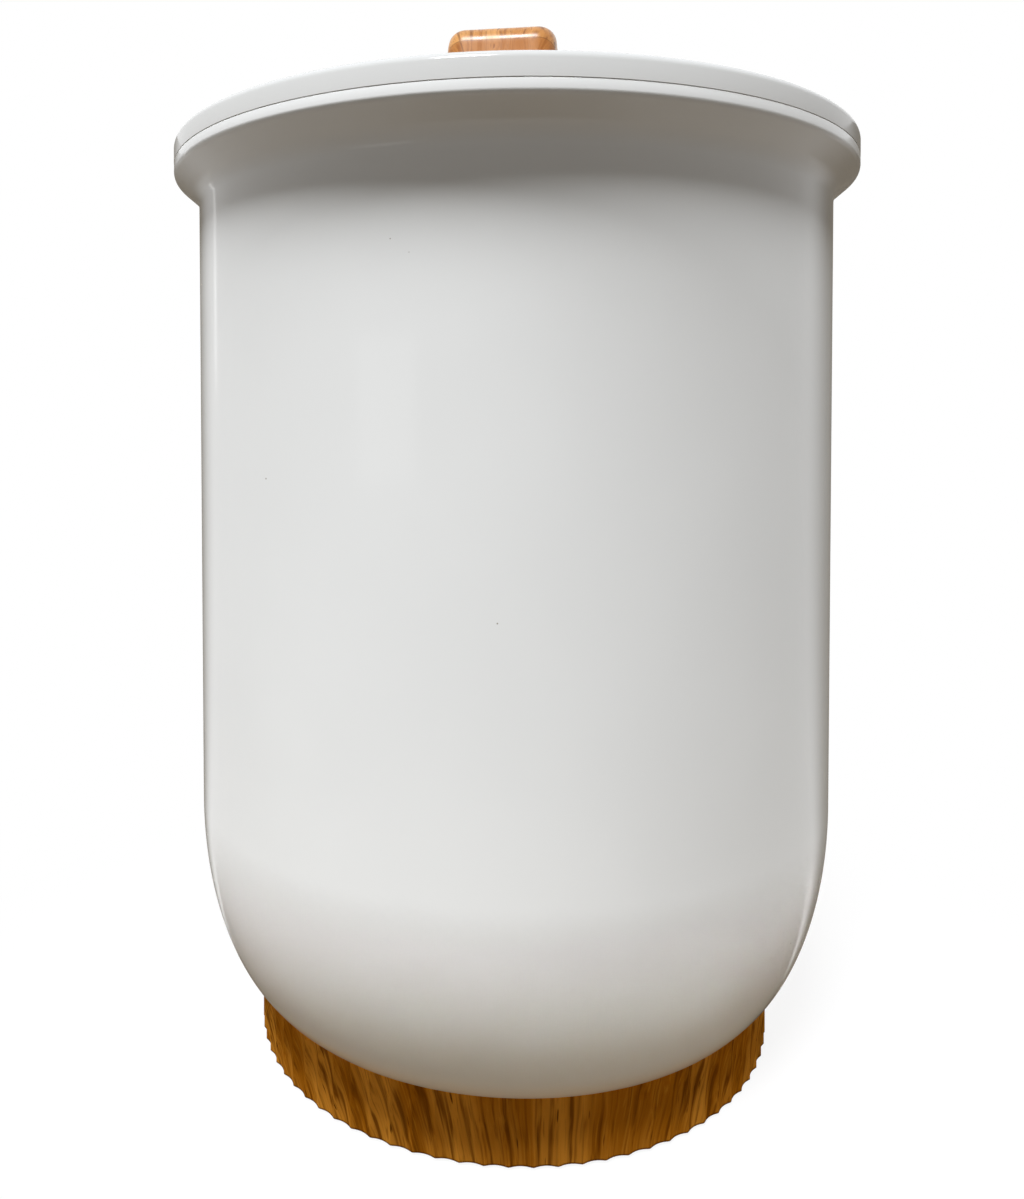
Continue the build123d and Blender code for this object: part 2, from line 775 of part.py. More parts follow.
def panel_screws():
    """Screws from behind the button board into the panel's posts."""
    reach = panel_back - button_board_face - 1.5
    one = Rot(-90, 0, 0) * screw(small_screw, reach, board_thickness)
    return Compound(children=[Pos(x, button_board_back, z) * one for x, z in panel_post_points()])


# ------------------------------------------------------------------ lid
def handle_pad():
    """Plan of the flat pad under one handle leg."""
    depth = handle_leg + handle_splay + 2 * pad_margin
    place = Pos(0, handle_length / 2 + handle_splay - depth / 2 + pad_margin)
    return place * RectangleRounded(handle_width + 2 * pad_margin, depth, handle_edge)


def lid_shell():
    """Crowned lid top with an upright band, a ledge for its liner and pads for the handle."""
    crown = ThreePointArc(
        (rim_radius, lid_edge),
        (rim_radius / 2, lid_crown - crown_radius + sqrt(crown_radius ** 2 - rim_radius ** 2 / 4)),
        (0, lid_crown),
    )
    inner_radius = crown_radius - wall
    inner_reach = ledge_radius
    inner_edge = lid_crown - crown_radius + sqrt(inner_radius ** 2 - inner_reach ** 2)
    under = ThreePointArc(
        (inner_reach, inner_edge),
        (inner_reach / 2, lid_crown - crown_radius + sqrt(inner_radius ** 2 - inner_reach ** 2 / 4)),
        (0, lid_crown - wall),
    )
    band = Polyline(
        (rim_radius, lid_edge), (rim_radius, lid_low), (lip_inner, lid_low),
        (lip_inner, lid_plate_top), (inner_reach, lid_plate_top), (inner_reach, inner_edge),
    )
    axis_line = Line((0, lid_crown), (0, lid_crown - wall))
    profile = make_face([*crown.edges(), *under.edges(), *band.edges(), *axis_line.edges()])
    profile = fillet(profile.vertices().sort_by_distance((rim_radius, lid_edge))[0], lid_edge_round)
    profile = fillet(profile.vertices().sort_by_distance((rim_radius, lid_low))[0], lip_width / 5)
    lid = revolve(Plane.XZ * profile, Axis.Z)
    pad = Pos(0, 0, pad_low) * extrude(handle_pad(), pad_thickness)
    lid += [Rot(0, 0, side) * pad for side in (0, 180)]
    hole = post(handle_screw[0] + pilot_clearance, pad_low - wall, pad_top)
    return lid - [Pos(0, side * leg_centre, 0) * hole for side in (-1, 1)]


def handle_outline():
    """Side view of the bridge handle: two splayed legs and a level bar, all corners rounded."""
    half = handle_length / 2
    foot = half + handle_splay
    under_bar = handle_top - handle_bar
    points = [
        (-foot, pad_top), (-half, handle_top), (half, handle_top), (foot, pad_top),
        (leg_inner, pad_top), (leg_inner, under_bar), (-leg_inner, under_bar), (-leg_inner, pad_top),
    ]
    rounds = [0, handle_bend, handle_bend, 0, 0, handle_inner_bend, handle_inner_bend, 0]
    return make_face(FilletPolyline(*points, radius=rounds, close=True))


def long_edges(block, outside):
    """The handle's long side edges above the pads: those of its outer sweep, or of the finger gap."""
    chosen = []
    for edge in ShapeList(block.faces().filter_by(Axis.X)).edges():
        middle = edge @ 0.5
        beyond = abs(middle.Y) > leg_centre or middle.Z > handle_top - handle_bar / 2
        if middle.Z > pad_top + 0.01 and beyond == outside:
            chosen.append(edge)
    return chosen


def lid_handle():
    """Wood-grain bridge handle, run front to back, softly rounded on every long edge."""
    block = extrude(Plane.YZ * handle_outline(), handle_width / 2, both=True)
    block = fillet(long_edges(block, True), handle_edge)
    block = fillet(long_edges(block, False), handle_inner_edge)
    pilot = post(handle_screw[0] + pilot_clearance, pad_top, pad_top + handle_screw_bite + 1)
    return block - [Pos(0, side * leg_centre, 0) * pilot for side in (-1, 1)]


def handle_screws():
    """Screws up through the lid into the handle's legs, each over a washer."""
    through = pad_thickness + washer_thickness
    one = Pos(0, 0, pad_low - washer_thickness) * screw(handle_screw, handle_screw_bite, through)
    return Compound(children=[Pos(0, side * leg_centre, 0) * one for side in (-1, 1)])


def handle_washers():
    """Plain washers under the handle screws' heads."""
    one = tube(washer_radius, handle_screw[0] + pilot_clearance, pad_low - washer_thickness, pad_low)
    return Compound(children=[Pos(0, side * leg_centre, 0) * one for side in (-1, 1)])


def sector(radius, angle):
    """Flat pie slice about the X axis."""
    half = radians(angle / 2)
    reach = radius / cos(half)
    corners = [(0, 0), (reach * cos(half), -reach * sin(half)), (reach * cos(half), reach * sin(half))]
    return make_face(Polyline(*corners, close=True)) & Circle(radius)


def lid_liner():
    """Lid's inner moulding: flange, plug that drops into the mouth, and the fragrance cup."""
    cup_outer = cup_radius + cup_wall
    hole = cover_radius + seat_gap
    points = [
        (hole, plug_low),
        (plug_radius, plug_low),
        (plug_radius, lid_low),
        (lip_inner - seat_gap, lid_low),
        (lip_inner - seat_gap, lid_plate_top),
        (plug_radius - plug_wall, lid_plate_top),
        (plug_radius - plug_wall, plug_top),
        (cup_outer, plug_top),
        (cup_outer, plug_top + cup_height + cup_roof),
        (0, plug_top + cup_height + cup_roof),
        (0, plug_top + cup_height),
        (cup_radius, plug_top + cup_height),
        (cup_radius, plug_top),
        (hole, plug_top),
    ]
    rounds = [0, plug_wall, 0, 0, 0, 0, 0, 0, 0, 0, 0, 0, 0, 0]
    liner = turn(points, rounds)
    notch = extrude(sector(cover_radius + lug_reach + seat_gap, notch_angle), plug_floor)
    notch = Pos(0, 0, plug_low) * notch
    return liner - [Rot(0, 0, side - twist_angle) * notch for side in (0, 180)]


def lid_foam():
    """Insulating foam disc inside the lid."""
    return tube(plug_radius - plug_wall - foam_clearance, cup_radius + cup_wall + foam_clearance,
                plug_top, plug_top + foam_thickness)


def lid_seal():
    """Silicone ring on the underside of the lid's flange, just over the collar."""
    low = lid_low - seal_thickness
    points = [
        (seal_radius - seal_width / 2, low),
        (seal_radius + seal_width / 2, low),
        (seal_radius + seal_width / 2, lid_low),
        (seal_radius - seal_width / 2, lid_low),
    ]
    return turn(points)


def cover_levels():
    """Flange's top, and the tray's floor, of the fragrance cover."""
    flange_top = plug_low - seat_gap
    low = flange_top - cover_flange_thickness
    return low, flange_top, low + cover_disc


def perforations():
    """Centres of the cover's holes: the middle and two hexagonal rings clear of the grip bar."""
    points = []
    for ring in (1, 2, 3):
        count = 6 * ring
        for i in range(count):
            angle = radians(360.0 * (i + 0.5) / count)
            x = ring * hole_pitch * cos(angle)
            y = ring * hole_pitch * sin(angle)
            if abs(y) > grip_width / 2 + hole_radius:
                points.append((x, y))
    return points


def fragrance_cover():
    """Perforated bayonet cover of the fragrance cup, with two lugs and a grip bar."""
    low, flange_top, tray = cover_levels()
    lug_low = plug_top + seat_gap
    cover = tube(cover_radius + cover_flange, 0, low, flange_top)
    cover += tube(cover_radius, cover_radius - cover_wall, low, lug_low + lug_height)
    cover += tube(cover_radius, 0, low, tray)
    lug = extrude(sector(cover_radius + lug_reach, lug_angle), lug_height)
    lug -= Cylinder(cover_radius - cover_wall / 2, 3 * lug_height)
    cover += [Rot(0, 0, side) * Pos(0, 0, lug_low) * lug for side in (0, 180)]
    bar = extrude(SlotOverall(grip_length, grip_width), grip_height)
    cover += Pos(0, 0, low - grip_height) * bar
    return cover - [post(hole_radius, low, tray, x, y) for x, y in perforations()]


def fragrance_pad():
    """Felt disc that lies in the cover's tray."""
    tray = cover_levels()[2]
    return tube(cover_radius - cover_wall - pad_clearance, 0, tray, tray + pad_felt)


PIECES = [
    outer_shell, base_ring, base_plate, rubber_feet, base_screws, cord_bushing,
    top_collar, inner_bucket, heater_foil, insulation_felt, bottom_heater_plate,
    bottom_heating_element, element_straps, thermal_fuse, fuse_clip, thermostat, heater_screws,
    bucket_standoffs, standoff_screws, heat_shield,
    control_board, board_screws, relay, power_module, capacitor, terminal_block,
    control_panel, power_button, tact_switch, timer_lenses, indicator_leds, button_board, panel_screws,
    lid_shell, lid_handle, handle_screws, handle_washers, lid_liner, lid_foam, lid_seal,
    fragrance_cover, fragrance_pad,
]

os.makedirs("parts", exist_ok=True)
for piece in PIECES:
    export_step(piece(), f"parts/{piece.__name__}.step")
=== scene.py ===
import math

import bmesh
import bpy
from mathutils import Matrix, Vector


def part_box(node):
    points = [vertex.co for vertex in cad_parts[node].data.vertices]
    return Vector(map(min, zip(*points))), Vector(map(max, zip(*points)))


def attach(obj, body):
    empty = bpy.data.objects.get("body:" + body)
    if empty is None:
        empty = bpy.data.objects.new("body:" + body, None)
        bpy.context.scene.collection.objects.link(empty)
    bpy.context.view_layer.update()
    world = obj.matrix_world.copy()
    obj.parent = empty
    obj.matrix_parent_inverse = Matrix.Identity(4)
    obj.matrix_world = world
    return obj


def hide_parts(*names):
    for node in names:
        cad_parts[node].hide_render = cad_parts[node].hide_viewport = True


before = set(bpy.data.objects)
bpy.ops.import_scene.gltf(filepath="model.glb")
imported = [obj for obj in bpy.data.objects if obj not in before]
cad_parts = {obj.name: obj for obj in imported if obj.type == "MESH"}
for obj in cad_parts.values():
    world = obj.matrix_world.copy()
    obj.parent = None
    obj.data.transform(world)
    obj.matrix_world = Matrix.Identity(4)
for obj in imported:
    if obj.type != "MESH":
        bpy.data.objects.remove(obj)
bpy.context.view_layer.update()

bl_info = {
    "name": "Towel Warmer Bucket",
    "version": (1, 0, 0),
    "blender": (4, 5, 0),
    "location": "View3D > Sidebar > Towel Warmer",
    "description": "Dresses the towel warmer bucket's pieces and sets them on a plain studio floor",
    "category": "Object",
}

MM = 0.001
SHELL_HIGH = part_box("outer_shell")[1]
RING_LOW, RING_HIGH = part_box("base_ring")
LID_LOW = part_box("lid_shell")[0]
HANDLE_LOW, HANDLE_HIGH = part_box("lid_handle")
PLATE_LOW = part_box("base_plate")[0]
COVER_LOW, COVER_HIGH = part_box("fragrance_cover")


# ------------------------------------------------------------------ what a user may change
def length(name, default, description):
    """A size in metres."""
    return bpy.props.FloatProperty(
        name=name, description=description, default=default, min=0.0, unit="LENGTH", precision=5)


def degrees(name, default, description):
    """An angle, given in degrees."""
    return bpy.props.FloatProperty(
        name=name, description=description, default=math.radians(default), subtype="ANGLE")


def number(name, default, description):
    """A plain number."""
    return bpy.props.FloatProperty(name=name, description=description, default=default, precision=4)


def linear(code):
    """Linear RGBA of an sRGB hex colour."""
    parts = [int(code[i:i + 2], 16) / 255 for i in (1, 3, 5)]
    return tuple(p / 12.92 if p <= 0.04045 else ((p + 0.055) / 1.055) ** 2.4 for p in parts) + (1.0,)


def colour(name, code, description):
    """A colour, given as sRGB hex."""
    return bpy.props.FloatVectorProperty(
        name=name, description=description, default=linear(code), size=4, min=0.0, max=1.0,
        subtype="COLOR")


class ShellSizes(bpy.types.PropertyGroup):
    rim_radius: length("Rim Radius", SHELL_HIGH.x, "Over the flared rim")
    height: length("Height", SHELL_HIGH.z, "Top of the rim's lip above the floor")
    ring_top: length("Ring Top", RING_HIGH.z, "Where the bowl stands on the base ring")
    wall: length("Wall", 2.5 * MM, "Moulded wall")
    bowl_height: length("Bowl Height", 84.4 * MM, "From the ring to the foot of the straight wall")
    bowl_side: length("Bowl Side", 42.0 * MM, "The bowl's quarter ellipse, sideways")
    bowl_cut: length("Bowl Cut", 6.6 * MM, "The ellipse would end this far below the ring's top")
    rim_flare: length("Rim Flare", 11.1 * MM, "Rim past the top of the wall")
    wall_taper: length("Wall Taper", 1.4 * MM, "The wall widens this much on its way up")
    rim_face: length("Rim Face", 5.1 * MM, "Upright face of the rim")
    rim_bevel: degrees("Rim Bevel", 40.0, "Underside of the rim, from level")
    rim_draft: length("Rim Draft", 0.1 * MM, "The rim's face leans in this much on its way up")
    rim_corner: length("Rim Corner", 3.0 * MM, "Round between the rim's face and its underside")
    rim_cove: length("Rim Cove", 10.0 * MM, "Hollow between the rim and the wall")
    lip: length("Lip", 2.5 * MM, "Lip that hides the collar's edge")
    ledge: length("Ledge", 2.5 * MM, "Ledge under the collar's edge")
    collar_sink: length("Collar Sink", 0.8 * MM, "Collar's face below the lip")
    floor_opening: length("Floor Opening", 80.0 * MM, "Radius of the hole in the shell's floor")
    spigot: length("Spigot", 113.5 * MM, "Radius of the rim that locates the ring")
    spigot_height: length("Spigot Height", 8.5 * MM, "How far it reaches into the ring")


class RingSizes(bpy.types.PropertyGroup):
    crest_radius: length("Crest Radius", RING_HIGH.x, "Over the crests of the flutes")
    low: length("Lower Edge", RING_LOW.z, "Lower edge above the floor")
    high: length("Upper Edge", RING_HIGH.z, "Upper edge above the floor")
    flutes: bpy.props.IntProperty(name="Flutes", description="Scoops round the ring", default=80, min=3)
    flute_depth: length("Flute Depth", 1.2 * MM, "Deepest point of a scoop")
    crest_round: length("Crest Round", 0.12 * MM, "How far the film rounds a crest off")
    top_round: length("Top Round", 1.6 * MM, "Rounded upper edge")
    wall: length("Wall", 5.5 * MM, "Behind the flutes")
    inner_lip: length("Inner Lip", 8.0 * MM, "Lip that the bottom cover clamps")
    cover: length("Cover", 2.5 * MM, "Thickness of the bottom cover under the lip")
    lip_thickness: length("Lip Thickness", 1.9 * MM, "Its thickness")
    inlet_height: length("Inlet Height", 14.0 * MM, "Axis of the cord inlet above the floor")
    inlet_pad: length("Inlet Pad", 8.5 * MM, "Radius of the flat pad round the inlet")
    inlet_hole: length("Inlet Hole", 5.7 * MM, "Radius of the hole for the bush")


class LidSizes(bpy.types.PropertyGroup):
    low: length("Lower Edge", LID_LOW.z, "Lower edge of the lid's band")
    band: length("Band", 8.8 * MM, "Upright edge")
    rise: length("Rise", 11.1 * MM, "Crown above the edge")
    edge_round: length("Edge Round", 3.0 * MM, "Round over the band")
    lower_round: length("Lower Round", 0.15 * MM, "Round under the band")
    drop: length("Drop", 0.4 * MM, "The seal gives this much under the lid's weight")
    wall: length("Wall", 2.5 * MM, "Moulded wall")
    plate: length("Plate", 2.2 * MM, "Thickness of the inner moulding's flange")
    pad_margin: length("Pad Margin", 1.5 * MM, "Pad round each handle leg")
    pad_thickness: length("Pad Thickness", 4.2 * MM, "Thickness of a pad")
    pad_round: length("Pad Round", 0.7 * MM, "Round on a pad's upper edge")
    seal_radius: length("Seal Radius", 139.0 * MM, "Middle of the silicone ring")
    seal_width: length("Seal Width", 4.0 * MM, "Width of the silicone ring")
    seal_thickness: length("Seal Thickness", 0.8 * MM, "Thickness of the silicone ring")
    seal_round: length("Seal Round", 0.3 * MM, "Round on its lower edges")


class HandleSizes(bpy.types.PropertyGroup):
    width: length("Width", HANDLE_HIGH.x - HANDLE_LOW.x, "Across the lid")
    foot: length("Foot", HANDLE_HIGH.y, "Outside of a leg's foot from the middle")
    low: length("Foot Height", HANDLE_LOW.z, "Where the legs stand")
    high: length("Top", HANDLE_HIGH.z, "Top of the bar")
    splay: length("Splay", 4.0 * MM, "Each leg leans out this far at its foot")
    leg: length("Leg", 14.0 * MM, "Leg's thickness at the top")
    bar: length("Bar", 13.0 * MM, "Bar's thickness")
    bend: length("Bend", 8.5 * MM, "Outside bend")
    inner_bend: length("Inner Bend", 9.0 * MM, "Inside bend")
    edge: length("Edge Round", 8.0 * MM, "Round on the outer long edges")
    inner_edge: length("Inner Edge Round", 3.5 * MM, "Round on the finger gap's edges")
    fan: length("Fan", 6.0 * MM, "The grain fans out from this far below the upper corners")


class MouthSizes(bpy.types.PropertyGroup):
    radius: length("Mouth Radius", 130.4 * MM, "Inside the collar")
    lip: length("Collar Lip", 2.0 * MM, "Thickness of the collar's lip")
    lip_depth: length("Lip Depth", 12.4 * MM, "How far the lip hangs into the bucket")
    clearance: length("Clearance", 0.8 * MM, "Round the collar's lip")
    edge_gap: length("Edge Gap", 0.3 * MM, "Between the collar and the rim's lip")
    edge_round: length("Edge Round", 0.5 * MM, "Round on the collar's outer edge")
    floor: length("Bucket Floor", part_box("inner_bucket")[0].z, "Underside of the aluminium bucket")
    wall: length("Bucket Wall", 1.2 * MM, "Spun aluminium")
    draft: degrees("Draft", 1.0, "The bucket narrows downwards")
    flange: length("Flange", 7.0 * MM, "Flange under the collar")
    corner: length("Corner", 22.0 * MM, "Round at the bucket's foot")


class CoverSizes(bpy.types.PropertyGroup):
    radius: length("Radius", 24.7 * MM, "Outside of the cover's wall")
    wall: length("Wall", 2.2 * MM, "Cover's wall")
    flange: length("Flange Radius", COVER_HIGH.x, "Over the flange")
    flange_thickness: length("Flange Thickness", 1.3 * MM, "Its thickness")
    disc: length("Disc", 2.0 * MM, "Thickness of the perforated disc")
    hole: length("Hole Radius", 1.6 * MM, "One perforation")
    pitch: length("Hole Pitch", 6.0 * MM, "From perforation to perforation")
    grip_length: length("Grip Length", 30.0 * MM, "Bar that the fingers turn")
    grip_width: length("Grip Width", 3.2 * MM, "Its thickness")
    grip_height: length("Grip Height", 5.0 * MM, "How far it stands out")
    grip_round: length("Grip Round", 0.6 * MM, "Round on its outer edge")
    rim_round: length("Rim Round", 0.5 * MM, "Round on the flange's outer edge")
    flange_round: length("Flange Round", 0.2 * MM, "Round on the flange's other edge")
    wall_round: length("Wall Round", 0.3 * MM, "Rounds on the end of the wall")
    pad_round: length("Pad Round", 1.2 * MM, "Soft edge of the felt pad")


class UndersideSizes(bpy.types.PropertyGroup):
    feet: bpy.props.IntProperty(name="Feet", description="Rubber feet", default=4, min=3)
    foot_radius: length("Foot Radius", 8.5 * MM, "One rubber foot")
    foot_circle: length("Foot Circle", 84.0 * MM, "Circle that the feet stand on")
    foot_height: length("Foot Height", 4.8 * MM, "With its seat in the bottom cover")
    sole_round: length("Sole Round", 1.2 * MM, "Round on the foot's outer edge")
    sole_hollow: length("Sole Hollow", 0.4 * MM, "Hollow in the middle of the sole")
    screws: bpy.props.IntProperty(name="Screws", description="Case screws", default=6, min=3)
    screw_circle: length("Screw Circle", 100.0 * MM, "Circle that the case screws stand on")
    head_radius: length("Head Radius", 3.8 * MM, "Screw head")
    head_height: length("Head Height", 2.3 * MM, "Screw head")
    shank_radius: length("Shank Radius", 1.8 * MM, "Screw shank")
    shank_length: length("Shank Length", 11.0 * MM, "From the head's seat to the tip")


class Finishes(bpy.types.PropertyGroup):
    shell: colour("Shell", "#DEE0DF", "Glossy white plastic of the shell and the lid")
    inner_white: colour("Inner White", "#DCDCD8", "Satin white plastic inside")
    ring_mid: colour("Ring Wood", "#A46512", "Main tone of the ring's wood film")
    ring_dark: colour("Ring Dark Grain", "#6A3A04", "Dark grain of the ring's wood film")
    ring_light: colour("Ring Light Grain", "#CA8A30", "Light grain of the ring's wood film")
    handle_mid: colour("Handle Wood", "#BE8042", "Main tone of the handle's wood film")
    handle_dark: colour("Handle Dark Grain", "#7E4A1B", "Dark grain of the handle's wood film")
    handle_light: colour("Handle Light Grain", "#D59B5A", "Light grain of the handle's wood film")
    aluminium: colour("Aluminium", "#C9CBCD", "Spun aluminium of the bucket")
    rubber: colour("Rubber", "#3A3A39", "Feet and the cord inlet's bush")
    panel: colour("Panel", "#C9CBCC", "Control panel at the rear")
    button: colour("Button", "#E6E7E6", "Power button")
    lens: colour("Lens", "#EDE6D2", "Light pipes beside the button")
    felt: colour("Felt", "#C9C0AE", "Fragrance pad and insulation")
    silicone: colour("Silicone", "#D9D8D2", "Lid's seal")


class StudioSettings(bpy.types.PropertyGroup):
    distance: length("Camera Distance", 502.2 * MM, "From the bucket's axis")
    eye_height: length("Eye Height", 283.8 * MM, "Camera above the floor")
    side: degrees("Side", 5.0, "Camera round the bucket from its front")
    turned: degrees("Turned", 2.759, "Camera turned away from the axis")
    tilt: degrees("Tilt", 0.5, "Camera tilted down")
    focal: number("Focal Length", 30.53, "Millimetres, on a sensor 36 mm wide")
    shift_across: number("Shift Across", 0.0412, "Lens shift, in widths of the frame")
    shift_up: number("Shift Up", -0.1422, "Lens shift, in widths of the frame")
    left_key: number("Left Key", 6.3, "Steep sun on shell and ring from the left, W/m2")
    right_key: number("Right Key", 4.6, "Steep sun on shell and ring from the right, W/m2")
    main_key: number("Main Key", 3.8, "Sun on all the rest, W/m2")
    fill: number("Fill Light", 9.0, "Watts that the softboxes' shares are parts of")
    ambient: number("Ambient", 0.04, "World light on diffuse surfaces")
    key_colour: colour("Key Colour", "#FBFCFF", "Daylight of the keys")
    air: colour("Air", "#F2EFEA", "World light on diffuse surfaces")
    board_near: colour("Board Near", "#AE9C81", "Board round the ring, which warms the bowl")
    board_far: colour("Board Far", "#635543", "Board further off, which lights the rim's underside")
    board_gloss: colour("Board In Gloss", "#6A6053", "Board that the bowl's gloss reflects")
    paper: colour("Paper", "#5E5E5E", "Part of the white floor that takes the shadow")
    paper_glow: number("Paper Glow", 0.89, "Part of the white floor that glows by itself")
    card: colour("Card", "#7D766B", "Card that draws the darker lines down the sides")


GROUPS = {
    "bucket_shell": ShellSizes,
    "bucket_ring": RingSizes,
    "bucket_lid": LidSizes,
    "bucket_handle": HandleSizes,
    "bucket_mouth": MouthSizes,
    "bucket_cover": CoverSizes,
    "bucket_underside": UndersideSizes,
    "bucket_finishes": Finishes,
    "bucket_studio": StudioSettings,
}


# ------------------------------------------------------------------ mesh helpers
# Fine turning for what is seen from near, and a round end that leaves no side of length zero
FINE_TURN = 256
ROUND_END = 0.999


def rounded(corners, steps=8):
    """Closed outline from (across, up, round) corners, with an arc at each corner that has a round."""
    outline = []
    count = len(corners)
    for i, (across, up, radius) in enumerate(corners):
        here = Vector((across, up))
        if not radius:
            outline.append(here)
            continue
        back = (Vector(corners[i - 1][:2]) - here).normalized()
        ahead = (Vector(corners[(i + 1) % count][:2]) - here).normalized()
        half = back.angle(ahead) / 2
        centre = here + (back + ahead).normalized() * radius / math.sin(half)
        start = here + back * radius / math.tan(half) - centre
        sweep = math.pi - 2 * half
        if back.cross(ahead) > 0:
            sweep = -sweep
        for k in range(steps + 1):
            outline.append(centre + Matrix.Rotation(sweep * k / steps, 2) @ start)
    return [(p.x, p.y) for p in outline]


def stadium(half_width, half_height, steps=8):
    """Closed outline of a slot with round ends."""
    end = min(half_width, half_height) * ROUND_END
    corners = [(-half_width, -half_height), (half_width, -half_height),
               (half_width, half_height), (-half_width, half_height)]
    return rounded([(across, up, end) for across, up in corners], steps)


def smooth(mesh, angle=32.0):
    """Smooth shading, with edges sharper than an angle kept sharp."""
    mesh.shade_smooth()
    mesh.set_sharp_from_angle(angle=math.radians(angle))
    return mesh


def to_mesh(body, name):
    """Plain mesh from a bmesh, its faces pointing outwards."""
    bmesh.ops.recalc_face_normals(body, faces=body.faces)
    mesh = bpy.data.meshes.new(name)
    body.to_mesh(mesh)
    body.free()
    return smooth(mesh)


def lathe(name, outline, segments=192):
    """Solid of revolution about the bucket's axis from a closed (radius, height) outline."""
    body = bmesh.new()
    turns = [math.tau * i / segments for i in range(segments)]
    rings = []
    for radius, height in outline:
        if radius < 1e-7:
            rings.append([body.verts.new((0.0, 0.0, height))] * segments)
        else:
            rings.append([
                body.verts.new((radius * math.cos(t), radius * math.sin(t), height)) for t in turns])
    for low, high in zip(rings, rings[1:] + rings[:1]):
        for i in range(segments):
            j = (i + 1) % segments
            corners = list(dict.fromkeys((low[i], low[j], high[j], high[i])))
            if len(corners) > 2:
                body.faces.new(corners)
    return to_mesh(body, name)


def prism(name, outline, low, high, edge=0.0):
    """Upright block with a flat outline, its upper edge rounded."""
    body = bmesh.new()
    base = body.faces.new([body.verts.new((x, y, low)) for x, y in outline])
    grown = bmesh.ops.extrude_face_region(body, geom=[base])["geom"]
    top = [v for v in grown if isinstance(v, bmesh.types.BMVert)]
    bmesh.ops.translate(body, verts=top, vec=(0.0, 0.0, high - low))
    if edge:
        rim = [e for e in body.edges if all(v.co.z > high - 1e-6 for v in e.verts)]
        bmesh.ops.bevel(body, geom=rim, offset=edge, segments=4, affect="EDGES", profile=0.5)
    return to_mesh(body, name)


def rod(name, radius, start, end, segments=64):
    """Round bar between two points."""
    axis = Vector(end) - Vector(start)
    body = bmesh.new()
    bmesh.ops.create_cone(body, cap_ends=True, segments=segments, radius1=radius, radius2=radius,
                          depth=axis.length)
    place = Matrix.Translation((Vector(start) + Vector(end)) / 2)
    body.transform(place @ axis.to_track_quat("Z", "Y").to_matrix().to_4x4())
    return to_mesh(body, name)


def evaluated(holder):
    """The mesh that an object's modifiers make, as a plain mesh. The object and its own mesh go."""
    graph = bpy.context.evaluated_depsgraph_get()
    mesh = bpy.data.meshes.new_from_object(holder.evaluated_get(graph))
    name = holder.data.name
    bpy.data.meshes.remove(holder.data)
    mesh.name = name
    return mesh


def hold(mesh):
    """A scene object that carries a mesh while its modifiers are worked out."""
    holder = bpy.data.objects.new(mesh.name, mesh)
    bpy.context.scene.collection.objects.link(holder)
    return holder


def combine(mesh, tool, operation):
    """Boolean of two meshes: UNION, DIFFERENCE or INTERSECT."""
    holder = hold(mesh)
    cutter = hold(tool)
    modifier = holder.modifiers.new("Cut", "BOOLEAN")
    modifier.operation = operation
    modifier.solver = "EXACT"
    modifier.object = cutter
    result = evaluated(holder)
    bpy.data.meshes.remove(cutter.data)
    return smooth(result)


def publish(context, mesh, body, finish, replaces=()):
    """Put a finished mesh in the scene: its finish, the body it rides on and the nodes it stands for."""
    piece = bpy.data.objects.new(mesh.name, mesh)
    context.scene.collection.objects.link(piece)
    mesh.materials.clear()
    mesh.materials.append(finish)
    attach(piece, body)
    if replaces:
        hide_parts(*replaces)
    return piece


# ------------------------------------------------------------------ node helpers
def add(tree, kind, inputs=(), output=0, **settings):
    """Add a node, set its properties, set or link its inputs, and return one of its outputs.
    The inputs come by name or number, or in a list from the first one on."""
    node = tree.nodes.new(kind)
    for name, value in settings.items():
        setattr(node, name, value)
    given = inputs.items() if isinstance(inputs, dict) else enumerate(inputs)
    for key, value in given:
        if isinstance(value, bpy.types.NodeSocket):
            tree.links.new(value, node.inputs[key])
        else:
            node.inputs[key].default_value = value
    return node.outputs[output] if node.outputs else node


# Sockets of a colour Mix node
FACTOR, FIRST, SECOND, MIXED = 0, 6, 7, 2
# Settings of a Map Range node with soft ends
SOFT = {"interpolation_type": "SMOOTHSTEP"}
# Most of a noise lies between these two values
LEAST, MOST = 0.3, 0.7


def blank(name):
    """New material with an empty node tree."""
    material = bpy.data.materials.new(name)
    material.use_nodes = True
    material.node_tree.nodes.clear()
    return material, material.node_tree


def patches(tree, size, stretch=(1.0, 1.0, 1.0), octaves=2.0, source=None):
    """Noise with patches of a size in metres, drawn out along each axis by its stretch."""
    if source is None:
        source = add(tree, "ShaderNodeTexCoord", output="Object")
    scaled = add(tree, "ShaderNodeVectorMath", [source, [1 / s for s in stretch]], operation="MULTIPLY")
    return add(tree, "ShaderNodeTexNoise", {"Vector": scaled, "Scale": 1 / size, "Detail": octaves})


def coated(tree, base, coats):
    """A base colour under coats of other colours. A coat is its pattern, the pattern's value where the
    coat starts and where it is full, how much of it shows there, and its colour."""
    tone = base
    for pattern, start, full, share, rgba in coats:
        amount = add(tree, "ShaderNodeMapRange", [pattern, start, full, 0.0, share], **SOFT)
        tone = add(tree, "ShaderNodeMix", {FACTOR: amount, FIRST: tone, SECOND: tuple(rgba)}, MIXED,
                   data_type="RGBA")
    return tone


def toned(rgba, share):
    """The same colour at a share of its light."""
    return tuple(c * share for c in rgba[:3]) + (1.0,)


def end_in(tree, shader):
    """Principled shader and the material's output."""
    surface = add(tree, "ShaderNodeBsdfPrincipled", shader)
    add(tree, "ShaderNodeOutputMaterial", {"Surface": surface})


